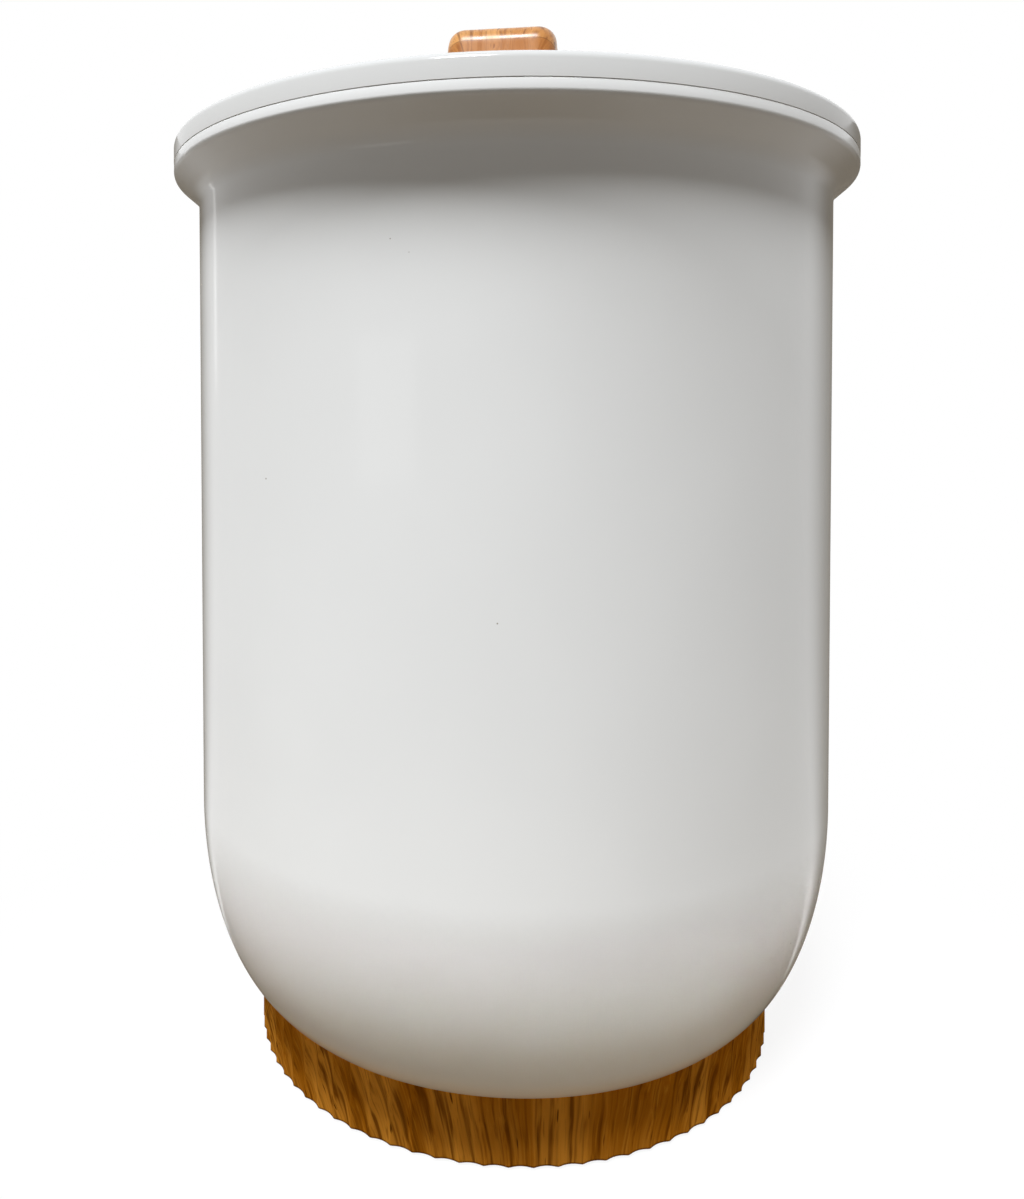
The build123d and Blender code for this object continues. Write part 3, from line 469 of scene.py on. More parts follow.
# ------------------------------------------------------------------ finishes
def moulded(name, rgba, roughness, texture, relief, ior=1.5, shade=0.97):
    """Injection-moulded plastic: slow clouds in the colour, smudges in the gloss and a fine skin."""
    material, tree = blank(name)
    cloud = patches(tree, 70 * MM)
    smudge = patches(tree, 18 * MM, octaves=5.0)
    skin = patches(tree, texture, octaves=3.0)
    blur = [smudge, LEAST, 0.75, roughness * 0.85, roughness * 1.35]
    end_in(tree, {
        "Base Color": coated(tree, toned(rgba, shade), [(cloud, LEAST, MOST, 1.0, rgba)]),
        "Roughness": add(tree, "ShaderNodeMapRange", blur, **SOFT),
        "IOR": ior,
        "Normal": add(tree, "ShaderNodeBump", {"Strength": 0.35, "Distance": relief, "Height": skin}),
    })
    return material


def gloss_white(rgba):
    """High-gloss white ABS, polished mould: mirror-like reflections over a faint orange peel,
    with finger smudges and a few dust specks set in the gloss."""
    material, tree = blank("high_gloss_white_abs")
    cloud = patches(tree, 80 * MM)
    smudge = patches(tree, 30 * MM, octaves=6.0)
    peel = patches(tree, 5 * MM, octaves=1.0)
    where = add(tree, "ShaderNodeTexCoord", output="Object")
    speck = add(tree, "ShaderNodeTexVoronoi", {"Vector": where, "Scale": 1 / (26 * MM)})
    body = coated(tree, toned(rgba, 0.975), [
        (cloud, LEAST, MOST, 1.0, rgba),
        (speck, 0.018, 0.012, 1.0, linear("#8D887F")),
    ])
    end_in(tree, {
        "Base Color": body,
        "Roughness": add(tree, "ShaderNodeMapRange", [smudge, 0.35, 0.75, 0.07, 0.13], **SOFT),
        "IOR": 1.53,
        "Normal": add(tree, "ShaderNodeBump", {"Strength": 0.1, "Distance": 0.01 * MM, "Height": peel}),
    })
    return material


def wood_film(name, mid, dark, light, streak, gloss, shine, seams_and_leg_shade=None, edge_shade=None):
    """Wood-grain film dipped on to ABS and lacquered: streaks along the grain, short dark pores and
    lighter growth bands look like wood under a film's even gloss. The piece's grain attribute runs
    along its Z. Seams are a line across the grain and one along it; past the one across the grain the
    film on the legs is darker and redder, partly a second piece of film and partly painted shade on
    the legs' upright faces. The last argument is the height of the lower edge, along which a dark band
    of painted shade is laid."""
    material, tree = blank(name)
    grain = add(tree, "ShaderNodeAttribute", output="Vector", attribute_name="grain")
    band = patches(tree, streak * 5, (1, 1, 6), 2.0, grain)
    wander = patches(tree, streak * 9, (1, 1, 1), 1.0, grain)
    shifted = [wander.node.outputs["Color"], (4 * MM, 4 * MM, 0.0), grain]
    warped = add(tree, "ShaderNodeVectorMath", shifted, operation="MULTIPLY_ADD")
    line = patches(tree, streak, (1, 1, 24), 3.0, warped)
    fine = patches(tree, streak * 0.4, (1, 1, 40), 2.0, warped)
    pore = patches(tree, streak * 0.55, (1, 1, 9), 1.0, warped)
    coats = [
        (band, 0.36, 0.66, 1.0, light),
        (line, 0.49, 0.68, 0.85, dark),
        (fine, 0.50, 0.70, 0.5, toned(dark, 1.15)),
        (fine, 0.46, 0.30, 0.45, light),
        (pore, 0.70, 0.78, 0.9, toned(dark, 0.5)),
    ]
    apart = add(tree, "ShaderNodeSeparateXYZ", {"Vector": grain}).node.outputs
    if edge_shade:
        # Painted shade: a dark band along the ring's lower edge
        coats.append((apart["Z"], edge_shade + 0.9 * MM, edge_shade + 0.2 * MM, 0.75, toned(dark, 0.4)))
    if seams_and_leg_shade:
        aside, up_the_leg = seams_and_leg_shade
        half_width = 0.2 * MM
        reach = add(tree, "ShaderNodeMath", [apart["Z"]], operation="ABSOLUTE")
        side = add(tree, "ShaderNodeMath", [apart["X"], aside, half_width], operation="COMPARE")
        bend = add(tree, "ShaderNodeMath", [reach, up_the_leg, half_width], operation="COMPARE")
        seam = add(tree, "ShaderNodeMath", [side, bend], operation="MAXIMUM")
        # Partly painted shade: past the bend the film on the legs is darker and redder, partly a second
        # piece of film
        coats.append((reach, up_the_leg, up_the_leg + 0.3 * MM, 0.6, toned(dark, 1.9)))
        coats.append((seam, 0.0, 1.0, 0.6, toned(dark, 0.8)))
    pits = add(tree, "ShaderNodeMapRange", [pore, 0.70, 0.78, 0.0, 0.9], **SOFT)
    depth = add(tree, "ShaderNodeMath", [line, pits], operation="SUBTRACT")
    end_in(tree, {
        "Base Color": coated(tree, tuple(mid), coats),
        "Roughness": add(tree, "ShaderNodeMapRange", [band, LEAST, MOST, gloss, gloss + 0.12], **SOFT),
        "Specular IOR Level": shine,
        "Normal": add(tree, "ShaderNodeBump", {"Strength": 0.3, "Distance": 0.05 * MM, "Height": depth}),
    })
    return material


def spun_metal(name, rgba, roughness, pitch):
    """Metal turned on a lathe: fine rings left by the tool, with a slow drift in the gloss."""
    material, tree = blank(name)
    where = add(tree, "ShaderNodeTexCoord", output="Object")
    apart = add(tree, "ShaderNodeSeparateXYZ", {"Vector": where}).node
    flat = add(tree, "ShaderNodeCombineXYZ", {"X": apart.outputs["X"], "Y": apart.outputs["Y"]})
    radius = add(tree, "ShaderNodeVectorMath", [flat], "Value", operation="LENGTH")
    section = add(tree, "ShaderNodeCombineXYZ", {"X": radius, "Z": apart.outputs["Z"]})
    lines = patches(tree, pitch, octaves=3.0, source=section)
    cloud = patches(tree, 40 * MM, octaves=4.0)
    blur = [cloud, LEAST, MOST, roughness * 0.85, roughness * 1.25]
    end_in(tree, {
        "Base Color": coated(tree, toned(rgba, 0.88), [(lines, LEAST, MOST, 1.0, rgba)]),
        "Metallic": 1.0,
        "Roughness": add(tree, "ShaderNodeMapRange", blur, **SOFT),
        "Normal": add(tree, "ShaderNodeBump", {"Strength": 0.4, "Distance": 0.02 * MM, "Height": lines}),
    })
    return material


def fibrous(name, rgba, fibre):
    """Pressed felt or foam: matt, mottled, and soft at its edges."""
    material, tree = blank(name)
    tufts = patches(tree, fibre, octaves=6.0)
    cloud = patches(tree, fibre * 8, octaves=2.0)
    mottled = coated(tree, toned(rgba, 0.7), [
        (tufts, LEAST, MOST, 1.0, rgba),
        (cloud, LEAST, MOST, 0.3, toned(rgba, 0.8)),
    ])
    end_in(tree, {
        "Base Color": mottled,
        "Roughness": add(tree, "ShaderNodeMapRange", [tufts, 0.2, 0.8, 0.85, 1.0], **SOFT),
        "Sheen Weight": 0.4,
        "Sheen Roughness": 0.6,
        "Normal": add(tree, "ShaderNodeBump", {"Strength": 0.8, "Distance": fibre / 2, "Height": tufts}),
    })
    return material


def circuit(rgba):
    """Solder-masked board: satin green lacquer with copper tracks showing faintly through it."""
    material, tree = blank("solder_masked_board")
    where = add(tree, "ShaderNodeTexCoord", output="Object")
    grid = {"Vector": where, "Scale": 1 / (12 * MM), "Mortar Size": 0.03}
    tracks = add(tree, "ShaderNodeTexBrick", grid, "Fac")
    cloud = patches(tree, 9 * MM)
    copper = {FACTOR: tracks, FIRST: rgba, SECOND: toned(rgba, 1.7)}
    traced = add(tree, "ShaderNodeMix", copper, MIXED, data_type="RGBA")
    end_in(tree, {
        "Base Color": coated(tree, traced, [(cloud, LEAST, MOST, 0.4, toned(rgba, 0.8))]),
        "Roughness": add(tree, "ShaderNodeMapRange", [cloud, LEAST, MOST, 0.3, 0.45], **SOFT),
        "Normal": add(tree, "ShaderNodeBump",
                      {"Strength": 0.5, "Distance": 0.03 * MM, "Height": tracks}),
    })
    return material


def make_finishes(f):
    """Every finish of the bucket, by the name that the operators use."""
    seam_aside = -15.4 * MM
    seam_up_the_leg = 61.4 * MM
    black = linear("#2B2B2C")
    return {
        # Mirror-like and bright: the room draws long soft lines down the wall
        "shell": gloss_white(f.shell),
        # Softer and a touch warmer than the shell, so the two whites part
        "inner_white": moulded(
            "satin_white_polypropylene", f.inner_white, 0.34, 0.6 * MM, 0.02 * MM, 1.49),
        # Deep orange grain with almost no gloss, and a dark band of painted shade along the lower edge
        "ring_wood": wood_film(
            "satin_wood_film_on_ring", f.ring_mid, f.ring_dark, f.ring_light, 2.8 * MM, 0.5, 0.0,
            edge_shade=RING_LOW.z),
        # Paler, finer grain under a clear lacquer that catches the light along its round edges
        "handle_wood": wood_film(
            "lacquered_wood_film_on_handle", f.handle_mid, f.handle_dark, f.handle_light, 1.5 * MM,
            0.22, 0.36, (seam_aside, seam_up_the_leg)),
        # Fine turning marks that break the reflections inside the bucket into bands
        "aluminium": spun_metal("spun_aluminium", f.aluminium, 0.34, 0.7 * MM),
        # Duller and coarser than the spun bucket
        "rolled_aluminium": spun_metal("rolled_aluminium", toned(f.aluminium, 0.9), 0.42, 1.5 * MM),
        # Small bright glints on heads and clips
        "steel": spun_metal("zinc_plated_steel", linear("#B9BBBE"), 0.28, 0.5 * MM),
        # Bright sheet with broad, soft ripples
        "foil": spun_metal("laminated_foil", linear("#D3D5D8"), 0.22, 4 * MM),
        # Dark and matt, with only a broad dull shine
        "rubber": moulded(
            "moulded_nitrile_rubber", f.rubber, 0.62, 0.5 * MM, 0.04 * MM, 1.52, 0.85),
        # Milky and smooth, duller than the plastic that it seals
        "silicone": moulded("moulded_silicone", f.silicone, 0.45, 0.8 * MM, 0.01 * MM, 1.41),
        # Cool grey with a soft shine, set apart from the white shell
        "panel": moulded("satin_grey_abs", f.panel, 0.32, 0.4 * MM, 0.02 * MM, 1.53),
        # Smoother than the panel, so the button stands out of it
        "button": moulded("polished_button_abs", f.button, 0.2, 0.6 * MM, 0.008 * MM, 1.53),
        # Warm and milky, with a soft shine
        "lens": moulded("frosted_polycarbonate", f.lens, 0.28, 0.5 * MM, 0.01 * MM, 1.58),
        # Yellowish and waxy
        "light_plastic": moulded(
            "natural_nylon", linear("#D8D3C4"), 0.4, 0.5 * MM, 0.02 * MM, 1.53),
        # Spark-eroded skin that breaks the shine up
        "dark_plastic": moulded("textured_black_abs", black, 0.45, 0.35 * MM, 0.04 * MM, 1.53, 0.85),
        # Fibres that scatter the light, with a pale bloom at the edges
        "felt": fibrous("needled_felt", f.felt, 0.5 * MM),
        # Open cells, coarser and paler than the felt
        "foam": fibrous("expanded_foam", linear("#E3E1DB"), 1.6 * MM),
        # Green lacquer with brighter tracks under it
        "board": circuit(linear("#1E5A34")),
    }


# Finish of each node whose own shape stays
KEPT_NODES = {
    "inner_white": ("lid_liner",),
    "dark_plastic": ("base_plate", "relay", "power_module", "thermostat"),
    "panel": ("control_panel",),
    "lens": ("timer_lenses",),
    "button": ("power_button",),
    "rubber": ("cord_bushing",),
    "rolled_aluminium": ("bottom_heater_plate", "heat_shield", "bucket_standoffs", "capacitor"),
    "steel": ("bottom_heating_element", "element_straps", "fuse_clip", "thermal_fuse", "heater_screws",
              "standoff_screws", "board_screws", "panel_screws", "handle_screws", "handle_washers"),
    "foil": ("heater_foil",),
    "felt": ("insulation_felt",),
    "foam": ("lid_foam",),
    "light_plastic": ("terminal_block", "tact_switch", "indicator_leds"),
    "board": ("control_board", "button_board"),
}
FINISHES = {}


# ------------------------------------------------------------------ outlines
def shell_outline(s):
    """Closed outline of the shell: bowl, drafted wall, flared rim, ledge, and back down the inside."""
    top_radius = s.rim_radius - s.rim_flare
    foot_radius = top_radius - s.wall_taper
    centre = foot_radius - s.bowl_side
    bowl_top = s.ring_top + s.bowl_height
    slope = math.tan(s.rim_bevel)
    corner_height = s.height - s.rim_face
    root = corner_height - s.rim_flare * slope
    inner_root = root + s.wall / math.cos(s.rim_bevel) - s.wall * slope
    lip_inner = s.rim_radius - s.lip
    ledge = lip_inner - s.ledge
    ledge_height = s.height - s.collar_sink - s.wall
    ledge_root = inner_root + (ledge - top_radius + s.wall) * slope
    arc_steps = 40
    wall_steps = 22

    def bowl(inset, low):
        side = s.bowl_side - inset
        drop = s.bowl_height + s.bowl_cut - inset
        start = math.asin((bowl_top - low) / drop)
        angles = [start * (1 - k / arc_steps) for k in range(arc_steps + 1)]
        return [(centre + side * math.cos(a), bowl_top - drop * math.sin(a), 0.0) for a in angles]

    def wall(inset, high):
        shares = [k / wall_steps for k in range(1, wall_steps)]
        foot = foot_radius - inset
        return [(foot + s.wall_taper * t, bowl_top + (high - bowl_top) * t, 0.0) for t in shares]

    spigot_low = s.ring_top - s.spigot_height
    corners = [
        (s.floor_opening, s.ring_top, 0.0),
        (s.spigot - s.wall, s.ring_top, 0.0),
        (s.spigot - s.wall, spigot_low, 0.0),
        (s.spigot, spigot_low, 0.0),
        (s.spigot, s.ring_top, 0.0),
        *bowl(0.0, s.ring_top),
        *wall(0.0, root),
        (top_radius, root, s.rim_cove),
        (s.rim_radius, corner_height, s.rim_corner),
        (s.rim_radius - s.rim_draft, s.height, s.lip / 4),
        (lip_inner, s.height, s.lip / 6),
        (lip_inner, ledge_height, 0.0),
        (ledge, ledge_height, 0.0),
        (ledge, ledge_root, 0.0),
        (top_radius - s.wall, inner_root, s.rim_cove),
        *reversed(wall(s.wall, inner_root)),
        *reversed(bowl(s.wall, s.ring_top + s.wall)),
        (s.floor_opening, s.ring_top + s.wall, 0.0),
    ]
    return rounded(corners)


def ring_outline(s):
    """Closed section of the base ring before it is fluted."""
    bore = s.crest_radius - s.flute_depth - s.wall
    cover_seat = PLATE_LOW.z + s.cover
    levels = 6
    side = [(s.crest_radius, s.low + (s.high - s.low) * k / levels, 0.0) for k in range(1, levels)]
    return rounded([
        (bore, s.low, 0.0),
        (s.crest_radius, s.low, s.crest_round * 2),
        *side,
        (s.crest_radius, s.high, s.top_round),
        (bore, s.high, 0.0),
        (bore, cover_seat + s.lip_thickness, 0.0),
        (bore - s.inner_lip, cover_seat + s.lip_thickness, 0.0),
        (bore - s.inner_lip, cover_seat, 0.0),
        (bore, cover_seat, 0.0),
    ])


def lid_outline(s, shell):
    """Closed outline of the lid: crown, rounded edge, band, and the underside."""
    edge = s.low + s.band
    crown = edge + s.rise
    big = (shell.rim_radius ** 2 + s.rise ** 2) / (2 * s.rise)
    lip_inner = shell.rim_radius - shell.lip
    ledge = lip_inner - shell.ledge
    steps = 36

    def cap(sphere, reach):
        reaches = [reach * k / steps for k in range(steps + 1)]
        return [(r, crown - big + math.sqrt(sphere ** 2 - r ** 2), 0.0) for r in reaches]

    outside = cap(big, shell.rim_radius)
    inside = cap(big - s.wall, ledge)
    return rounded([
        *outside[:-1],
        (shell.rim_radius, edge, s.edge_round),
        (shell.rim_radius, s.low - s.drop, s.lower_round),
        (lip_inner, s.low - s.drop, 0.0),
        (lip_inner, s.low + s.plate, 0.0),
        (ledge, s.low + s.plate, 0.0),
        *reversed(inside),
    ])


def leg_paths(s):
    """The handle's outer and inner paths in its side view, point for point, foot to foot."""
    half = s.foot - s.splay
    inner = half - s.leg
    under = s.high - s.bar
    outer_corners = [(-s.foot, s.low), (-half, s.high), (half, s.high), (s.foot, s.low)]
    inner_corners = [(-inner, s.low), (-inner, under), (inner, under), (inner, s.low)]
    leg_steps = 26
    bend_steps = 14
    bar_steps = 44

    def path(corners, bend):
        bends = (0.0, bend, bend, 0.0)
        closed = rounded([(*corner, r) for corner, r in zip(corners, bends)], bend_steps)
        first = [Vector(p) for p in closed]
        left_bend = first[1:bend_steps + 2]
        right_bend = first[bend_steps + 2:-1]
        up = [first[0].lerp(left_bend[0], k / leg_steps) for k in range(leg_steps)]
        across = [left_bend[-1].lerp(right_bend[0], k / bar_steps) for k in range(1, bar_steps)]
        down = [right_bend[-1].lerp(first[-1], k / leg_steps) for k in range(1, leg_steps + 1)]
        return [*up, *left_bend, *across, *right_bend, *down]

    return path(outer_corners, s.bend), path(inner_corners, s.inner_bend)


# ------------------------------------------------------------------ Geometry Nodes trees
def new_tree(name, sockets):
    """Geometry tree with named inputs and one geometry output, and its input node."""
    tree = bpy.data.node_groups.new(name, "GeometryNodeTree")
    for label, kind in {"Geometry": "Geometry", **sockets, "Material": "Material"}.items():
        tree.interface.new_socket(label, in_out="INPUT", socket_type=f"NodeSocket{kind}")
    tree.interface.new_socket("Geometry", in_out="OUTPUT", socket_type="NodeSocketGeometry")
    return tree, add(tree, "NodeGroupInput").node.outputs


def close_tree(tree, given, geometry):
    """Realize what the tree made, give it its material and send it out."""
    real = add(tree, "GeometryNodeRealizeInstances", {"Geometry": geometry})
    done = add(tree, "GeometryNodeSetMaterial", {"Geometry": real, "Material": given["Material"]})
    add(tree, "NodeGroupOutput", {"Geometry": done})
    return tree


def grow(mesh, tree, values):
    """Run a tree on a mesh and return what it makes as a plain mesh."""
    holder = hold(mesh)
    modifier = holder.modifiers.new("Shape", "NODES")
    modifier.node_group = tree
    for item in tree.interface.items_tree:
        if item.in_out == "INPUT" and item.name in values:
            modifier[item.identifier] = values[item.name]
    return evaluated(holder)


def flute_tree():
    """Scoops flutes out of a turned ring: no point stays outside the scalloped outline."""
    tree, given = new_tree("Flutes", {
        "Flutes": "Int", "Crest Radius": "Float", "Flute Depth": "Float", "Crest Round": "Float"})
    place = add(tree, "GeometryNodeInputPosition")
    apart = add(tree, "ShaderNodeSeparateXYZ", {"Vector": place}).node.outputs
    angle = add(tree, "ShaderNodeMath", [apart["Y"], apart["X"]], operation="ARCTAN2")
    turns = add(tree, "ShaderNodeMath", [angle, math.tau], operation="DIVIDE")
    count = add(tree, "ShaderNodeMath", [turns, given["Flutes"]], operation="MULTIPLY")
    across = add(tree, "ShaderNodeMath", [count], operation="FRACT")
    rest = add(tree, "ShaderNodeMath", [1.0, across], operation="SUBTRACT")
    bow = add(tree, "ShaderNodeMath", [across, rest], operation="MULTIPLY")
    deep = add(tree, "ShaderNodeMath", [bow, 4.0], operation="MULTIPLY")
    scoop = add(tree, "ShaderNodeMath", [deep, given["Flute Depth"]], operation="MULTIPLY")
    legs = add(tree, "ShaderNodeCombineXYZ", {"X": scoop, "Y": given["Crest Round"]})
    soft = add(tree, "ShaderNodeVectorMath", [legs], "Value", operation="LENGTH")
    limit = add(tree, "ShaderNodeMath", [given["Crest Radius"], soft], operation="SUBTRACT")
    flat = add(tree, "ShaderNodeCombineXYZ", {"X": apart["X"], "Y": apart["Y"]})
    radius = add(tree, "ShaderNodeVectorMath", [flat], "Value", operation="LENGTH")
    kept = add(tree, "ShaderNodeMath", [radius, limit], operation="MINIMUM")
    share = add(tree, "ShaderNodeMath", [kept, radius], operation="DIVIDE")
    drawn = add(tree, "ShaderNodeCombineXYZ", {"X": share, "Y": share, "Z": 1.0})
    moved = add(tree, "ShaderNodeVectorMath", [place, drawn], operation="MULTIPLY")
    fluted = add(tree, "GeometryNodeSetPosition", {"Geometry": given["Geometry"], "Position": moved})
    return close_tree(tree, given, fluted)


def circle_tree():
    """Copies of a piece that stands on the axis, spread on a circle."""
    tree, given = new_tree("Copies On A Circle", {
        "Count": "Int", "Circle Radius": "Float", "Start": "Float"})
    circle = {"Vertices": given["Count"], "Radius": given["Circle Radius"]}
    ring = add(tree, "GeometryNodeMeshCircle", circle)
    spin = add(tree, "ShaderNodeCombineXYZ", {"Z": given["Start"]})
    turned = add(tree, "GeometryNodeTransform", {"Geometry": ring, "Rotation": spin})
    copies = add(tree, "GeometryNodeInstanceOnPoints", {"Points": turned, "Instance": given["Geometry"]})
    return close_tree(tree, given, copies)


def perforation_tree():
    """Drills a round hole through a piece at every point."""
    tree, given = new_tree("Perforations", {
        "Piece": "Object", "Hole Radius": "Float", "Hole Depth": "Float"})
    drill = add(tree, "GeometryNodeMeshCylinder",
                {"Vertices": 20, "Radius": given["Hole Radius"], "Depth": given["Hole Depth"]}, "Mesh")
    drills = add(tree, "GeometryNodeInstanceOnPoints", {"Points": given["Geometry"], "Instance": drill})
    piece = add(tree, "GeometryNodeObjectInfo", {"Object": given["Piece"]}, "Geometry")
    drilled = add(tree, "GeometryNodeMeshBoolean", {"Mesh 1": piece, "Mesh 2": drills}, "Mesh",
                  operation="DIFFERENCE", solver="EXACT")
    return close_tree(tree, given, drilled)


# ------------------------------------------------------------------ operators
class BUCKET_OT_finishes(bpy.types.Operator):
    """Make the finishes and give the inner pieces theirs"""
    bl_idname = "bucket.finishes"
    bl_label = "Finishes"

    def execute(self, context):
        FINISHES.update(make_finishes(context.scene.bucket_finishes))
        for finish, names in KEPT_NODES.items():
            for name in names:
                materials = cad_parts[name].data.materials
                materials.clear()
                materials.append(FINISHES[finish])
        return {"FINISHED"}


class BUCKET_OT_outer_shell(bpy.types.Operator):
    """Make the white bucket shell"""
    bl_idname = "bucket.outer_shell"
    bl_label = "Outer Shell"

    def execute(self, context):
        sizes = context.scene.bucket_shell
        mesh = lathe("white_shell", shell_outline(sizes), FINE_TURN)
        low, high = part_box("control_panel")
        overlap = 3 * MM
        half_width = high.x - overlap
        half_length = (high.z - low.z) / 2 - overlap
        middle = (high.z + low.z) / 2
        reach = 10 * MM
        slot = stadium(half_width, half_length, 16)
        cutter = prism("panel_opening", slot, low.y - reach, high.y + reach)
        upright = Matrix.Rotation(-math.pi / 2, 4, "X")
        cutter.transform(Matrix.Translation((0.0, 0.0, middle)) @ upright)
        mesh = combine(mesh, cutter, "DIFFERENCE")
        publish(context, mesh, "bucket", FINISHES["shell"], ["outer_shell"])
        return {"FINISHED"}


class BUCKET_OT_base_ring(bpy.types.Operator):
    """Make the fluted wood-grain base ring"""
    bl_idname = "bucket.base_ring"
    bl_label = "Base Ring"

    def execute(self, context):
        sizes = context.scene.bucket_ring
        steps_per_flute = 14
        turned = lathe("fluted_ring", ring_outline(sizes), sizes.flutes * steps_per_flute)
        mesh = grow(turned, flute_tree(), {
            "Flutes": sizes.flutes, "Crest Radius": sizes.crest_radius, "Flute Depth": sizes.flute_depth,
            "Crest Round": sizes.crest_round, "Material": FINISHES["ring_wood"]})
        bore = sizes.crest_radius - sizes.flute_depth - sizes.wall
        face = RING_HIGH.y
        axis = sizes.inlet_height
        pad = rod("pad", sizes.inlet_pad, (0, bore + MM, axis), (0, face, axis))
        mesh = combine(mesh, pad, "UNION")
        hole = rod("hole", sizes.inlet_hole, (0, bore - 2 * MM, axis), (0, face + MM, axis))
        mesh = combine(mesh, hole, "DIFFERENCE")
        self.lay_grain(mesh, sizes)
        publish(context, mesh, "bucket", FINISHES["ring_wood"], ["base_ring"])
        return {"FINISHED"}

    def lay_grain(self, mesh, sizes):
        """Grain coordinates: the film leans to either side of the front, and less so at the rear."""
        lean_middle = 0.16
        lean_change = -0.8
        values = []
        for vertex in mesh.vertices:
            x, y, z = vertex.co
            front = 0.5 - 0.5 * y / sizes.crest_radius
            lean = lean_middle + lean_change * front * x / sizes.crest_radius
            turn = -(sizes.high - z) * lean / sizes.crest_radius
            sine, cosine = math.sin(turn), math.cos(turn)
            values += (x * cosine - y * sine, x * sine + y * cosine, z)
        mesh.attributes.new("grain", "FLOAT_VECTOR", "POINT").data.foreach_set("vector", values)


class BUCKET_OT_lid(bpy.types.Operator):
    """Make the crowned lid with its handle pads, and its seal"""
    bl_idname = "bucket.lid"
    bl_label = "Lid"

    def execute(self, context):
        sizes = context.scene.bucket_lid
        handle = context.scene.bucket_handle
        mesh = lathe("white_lid", lid_outline(sizes, context.scene.bucket_shell), FINE_TURN)
        depth = handle.leg + handle.splay + 2 * sizes.pad_margin
        outer = handle.foot + sizes.pad_margin
        half = handle.width / 2 + sizes.pad_margin
        for side in (1, -1):
            near, far = sorted((side * outer, side * (outer - depth)))
            corners = [(-half, near), (half, near), (half, far), (-half, far)]
            outline = rounded([(x, y, handle.edge) for x, y in corners])
            pad = prism("pad", outline, handle.low - sizes.pad_thickness, handle.low, sizes.pad_round)
            mesh = combine(mesh, pad, "UNION")
        publish(context, mesh, "lid", FINISHES["shell"], ["lid_shell"])

        low = sizes.low - sizes.seal_thickness
        inner = sizes.seal_radius - sizes.seal_width / 2
        outer = sizes.seal_radius + sizes.seal_width / 2
        section = rounded([(inner, low, sizes.seal_round), (outer, low, sizes.seal_round),
                           (outer, sizes.low, 0.0), (inner, sizes.low, 0.0)])
        seal = lathe("silicone_seal", section)
        publish(context, seal, "lid", FINISHES["silicone"], ["lid_seal"])
        return {"FINISHED"}


class BUCKET_OT_handle(bpy.types.Operator):
    """Make the wood-grain bridge handle"""
    bl_idname = "bucket.handle"
    bl_label = "Handle"

    def execute(self, context):
        sizes = context.scene.bucket_handle
        outer, inner = leg_paths(sizes)
        section = self.section(sizes)
        into_the_film = 0.35
        body = bmesh.new()
        layer = body.verts.layers.float_vector.new("grain")
        steps = [0.0] + [(b - a).length for a, b in zip(outer, outer[1:])]
        along = -sum(steps) / 2
        loops = []
        for step, far, near in zip(steps, outer, inner):
            along += step
            depth = (near - far).length
            loop = []
            for x, from_outer, from_inner in section:
                down = from_outer if from_outer is not None else depth - from_inner
                point = far + (near - far).normalized() * min(down, depth)
                vertex = body.verts.new((x, point.x, point.y))
                vertex[layer] = (self.across(x, point.y, sizes), down * into_the_film, along)
                loop.append(vertex)
            loops.append(loop)
        for low, high in zip(loops, loops[1:]):
            for i in range(len(section)):
                j = (i + 1) % len(section)
                body.faces.new((low[i], low[j], high[j], high[i]))
        body.faces.new(loops[0])
        body.faces.new(reversed(loops[-1]))
        mesh = to_mesh(body, "bridge_handle")
        publish(context, mesh, "lid", FINISHES["handle_wood"], ["lid_handle"])
        return {"FINISHED"}

    def section(self, sizes):
        """Cross-section as (across, depth from the outer face, depth from the inner face)."""
        half = sizes.width / 2
        steps = 12
        flat = 20
        points = []
        outer_corner = [(math.sin(math.pi / 2 * k / steps), 1 - math.cos(math.pi / 2 * k / steps))
                        for k in range(steps + 1)]
        straight = half - sizes.edge
        points += [(straight * (2 * k / flat - 1), 0.0, None) for k in range(flat)]
        points += [(straight + sizes.edge * a, sizes.edge * b, None) for a, b in outer_corner]
        inner_corner = outer_corner[::-1]
        inner_straight = half - sizes.inner_edge
        edge = sizes.inner_edge
        points += [(inner_straight + edge * a, None, edge * b) for a, b in inner_corner]
        points += [(inner_straight * (1 - 2 * k / flat), None, 0.0) for k in range(1, flat)]
        points += [(-inner_straight - edge * a, None, edge * b) for a, b in outer_corner]
        edge = sizes.edge
        points += [(-straight - edge * a, edge * b, None) for a, b in reversed(outer_corner[1:])]
        return points

    def across(self, x, z, sizes):
        """Where a point lies across the film: straight up the legs, fanned out over the corners."""
        straight = sizes.width / 2 - sizes.edge * 1.3
        beyond = max(abs(x) - straight, 0.0)
        rise = max(z - (sizes.high - sizes.bend - sizes.fan), 0.0)
        return math.copysign(min(abs(x), straight) + beyond * sizes.fan / (sizes.fan + rise), x)


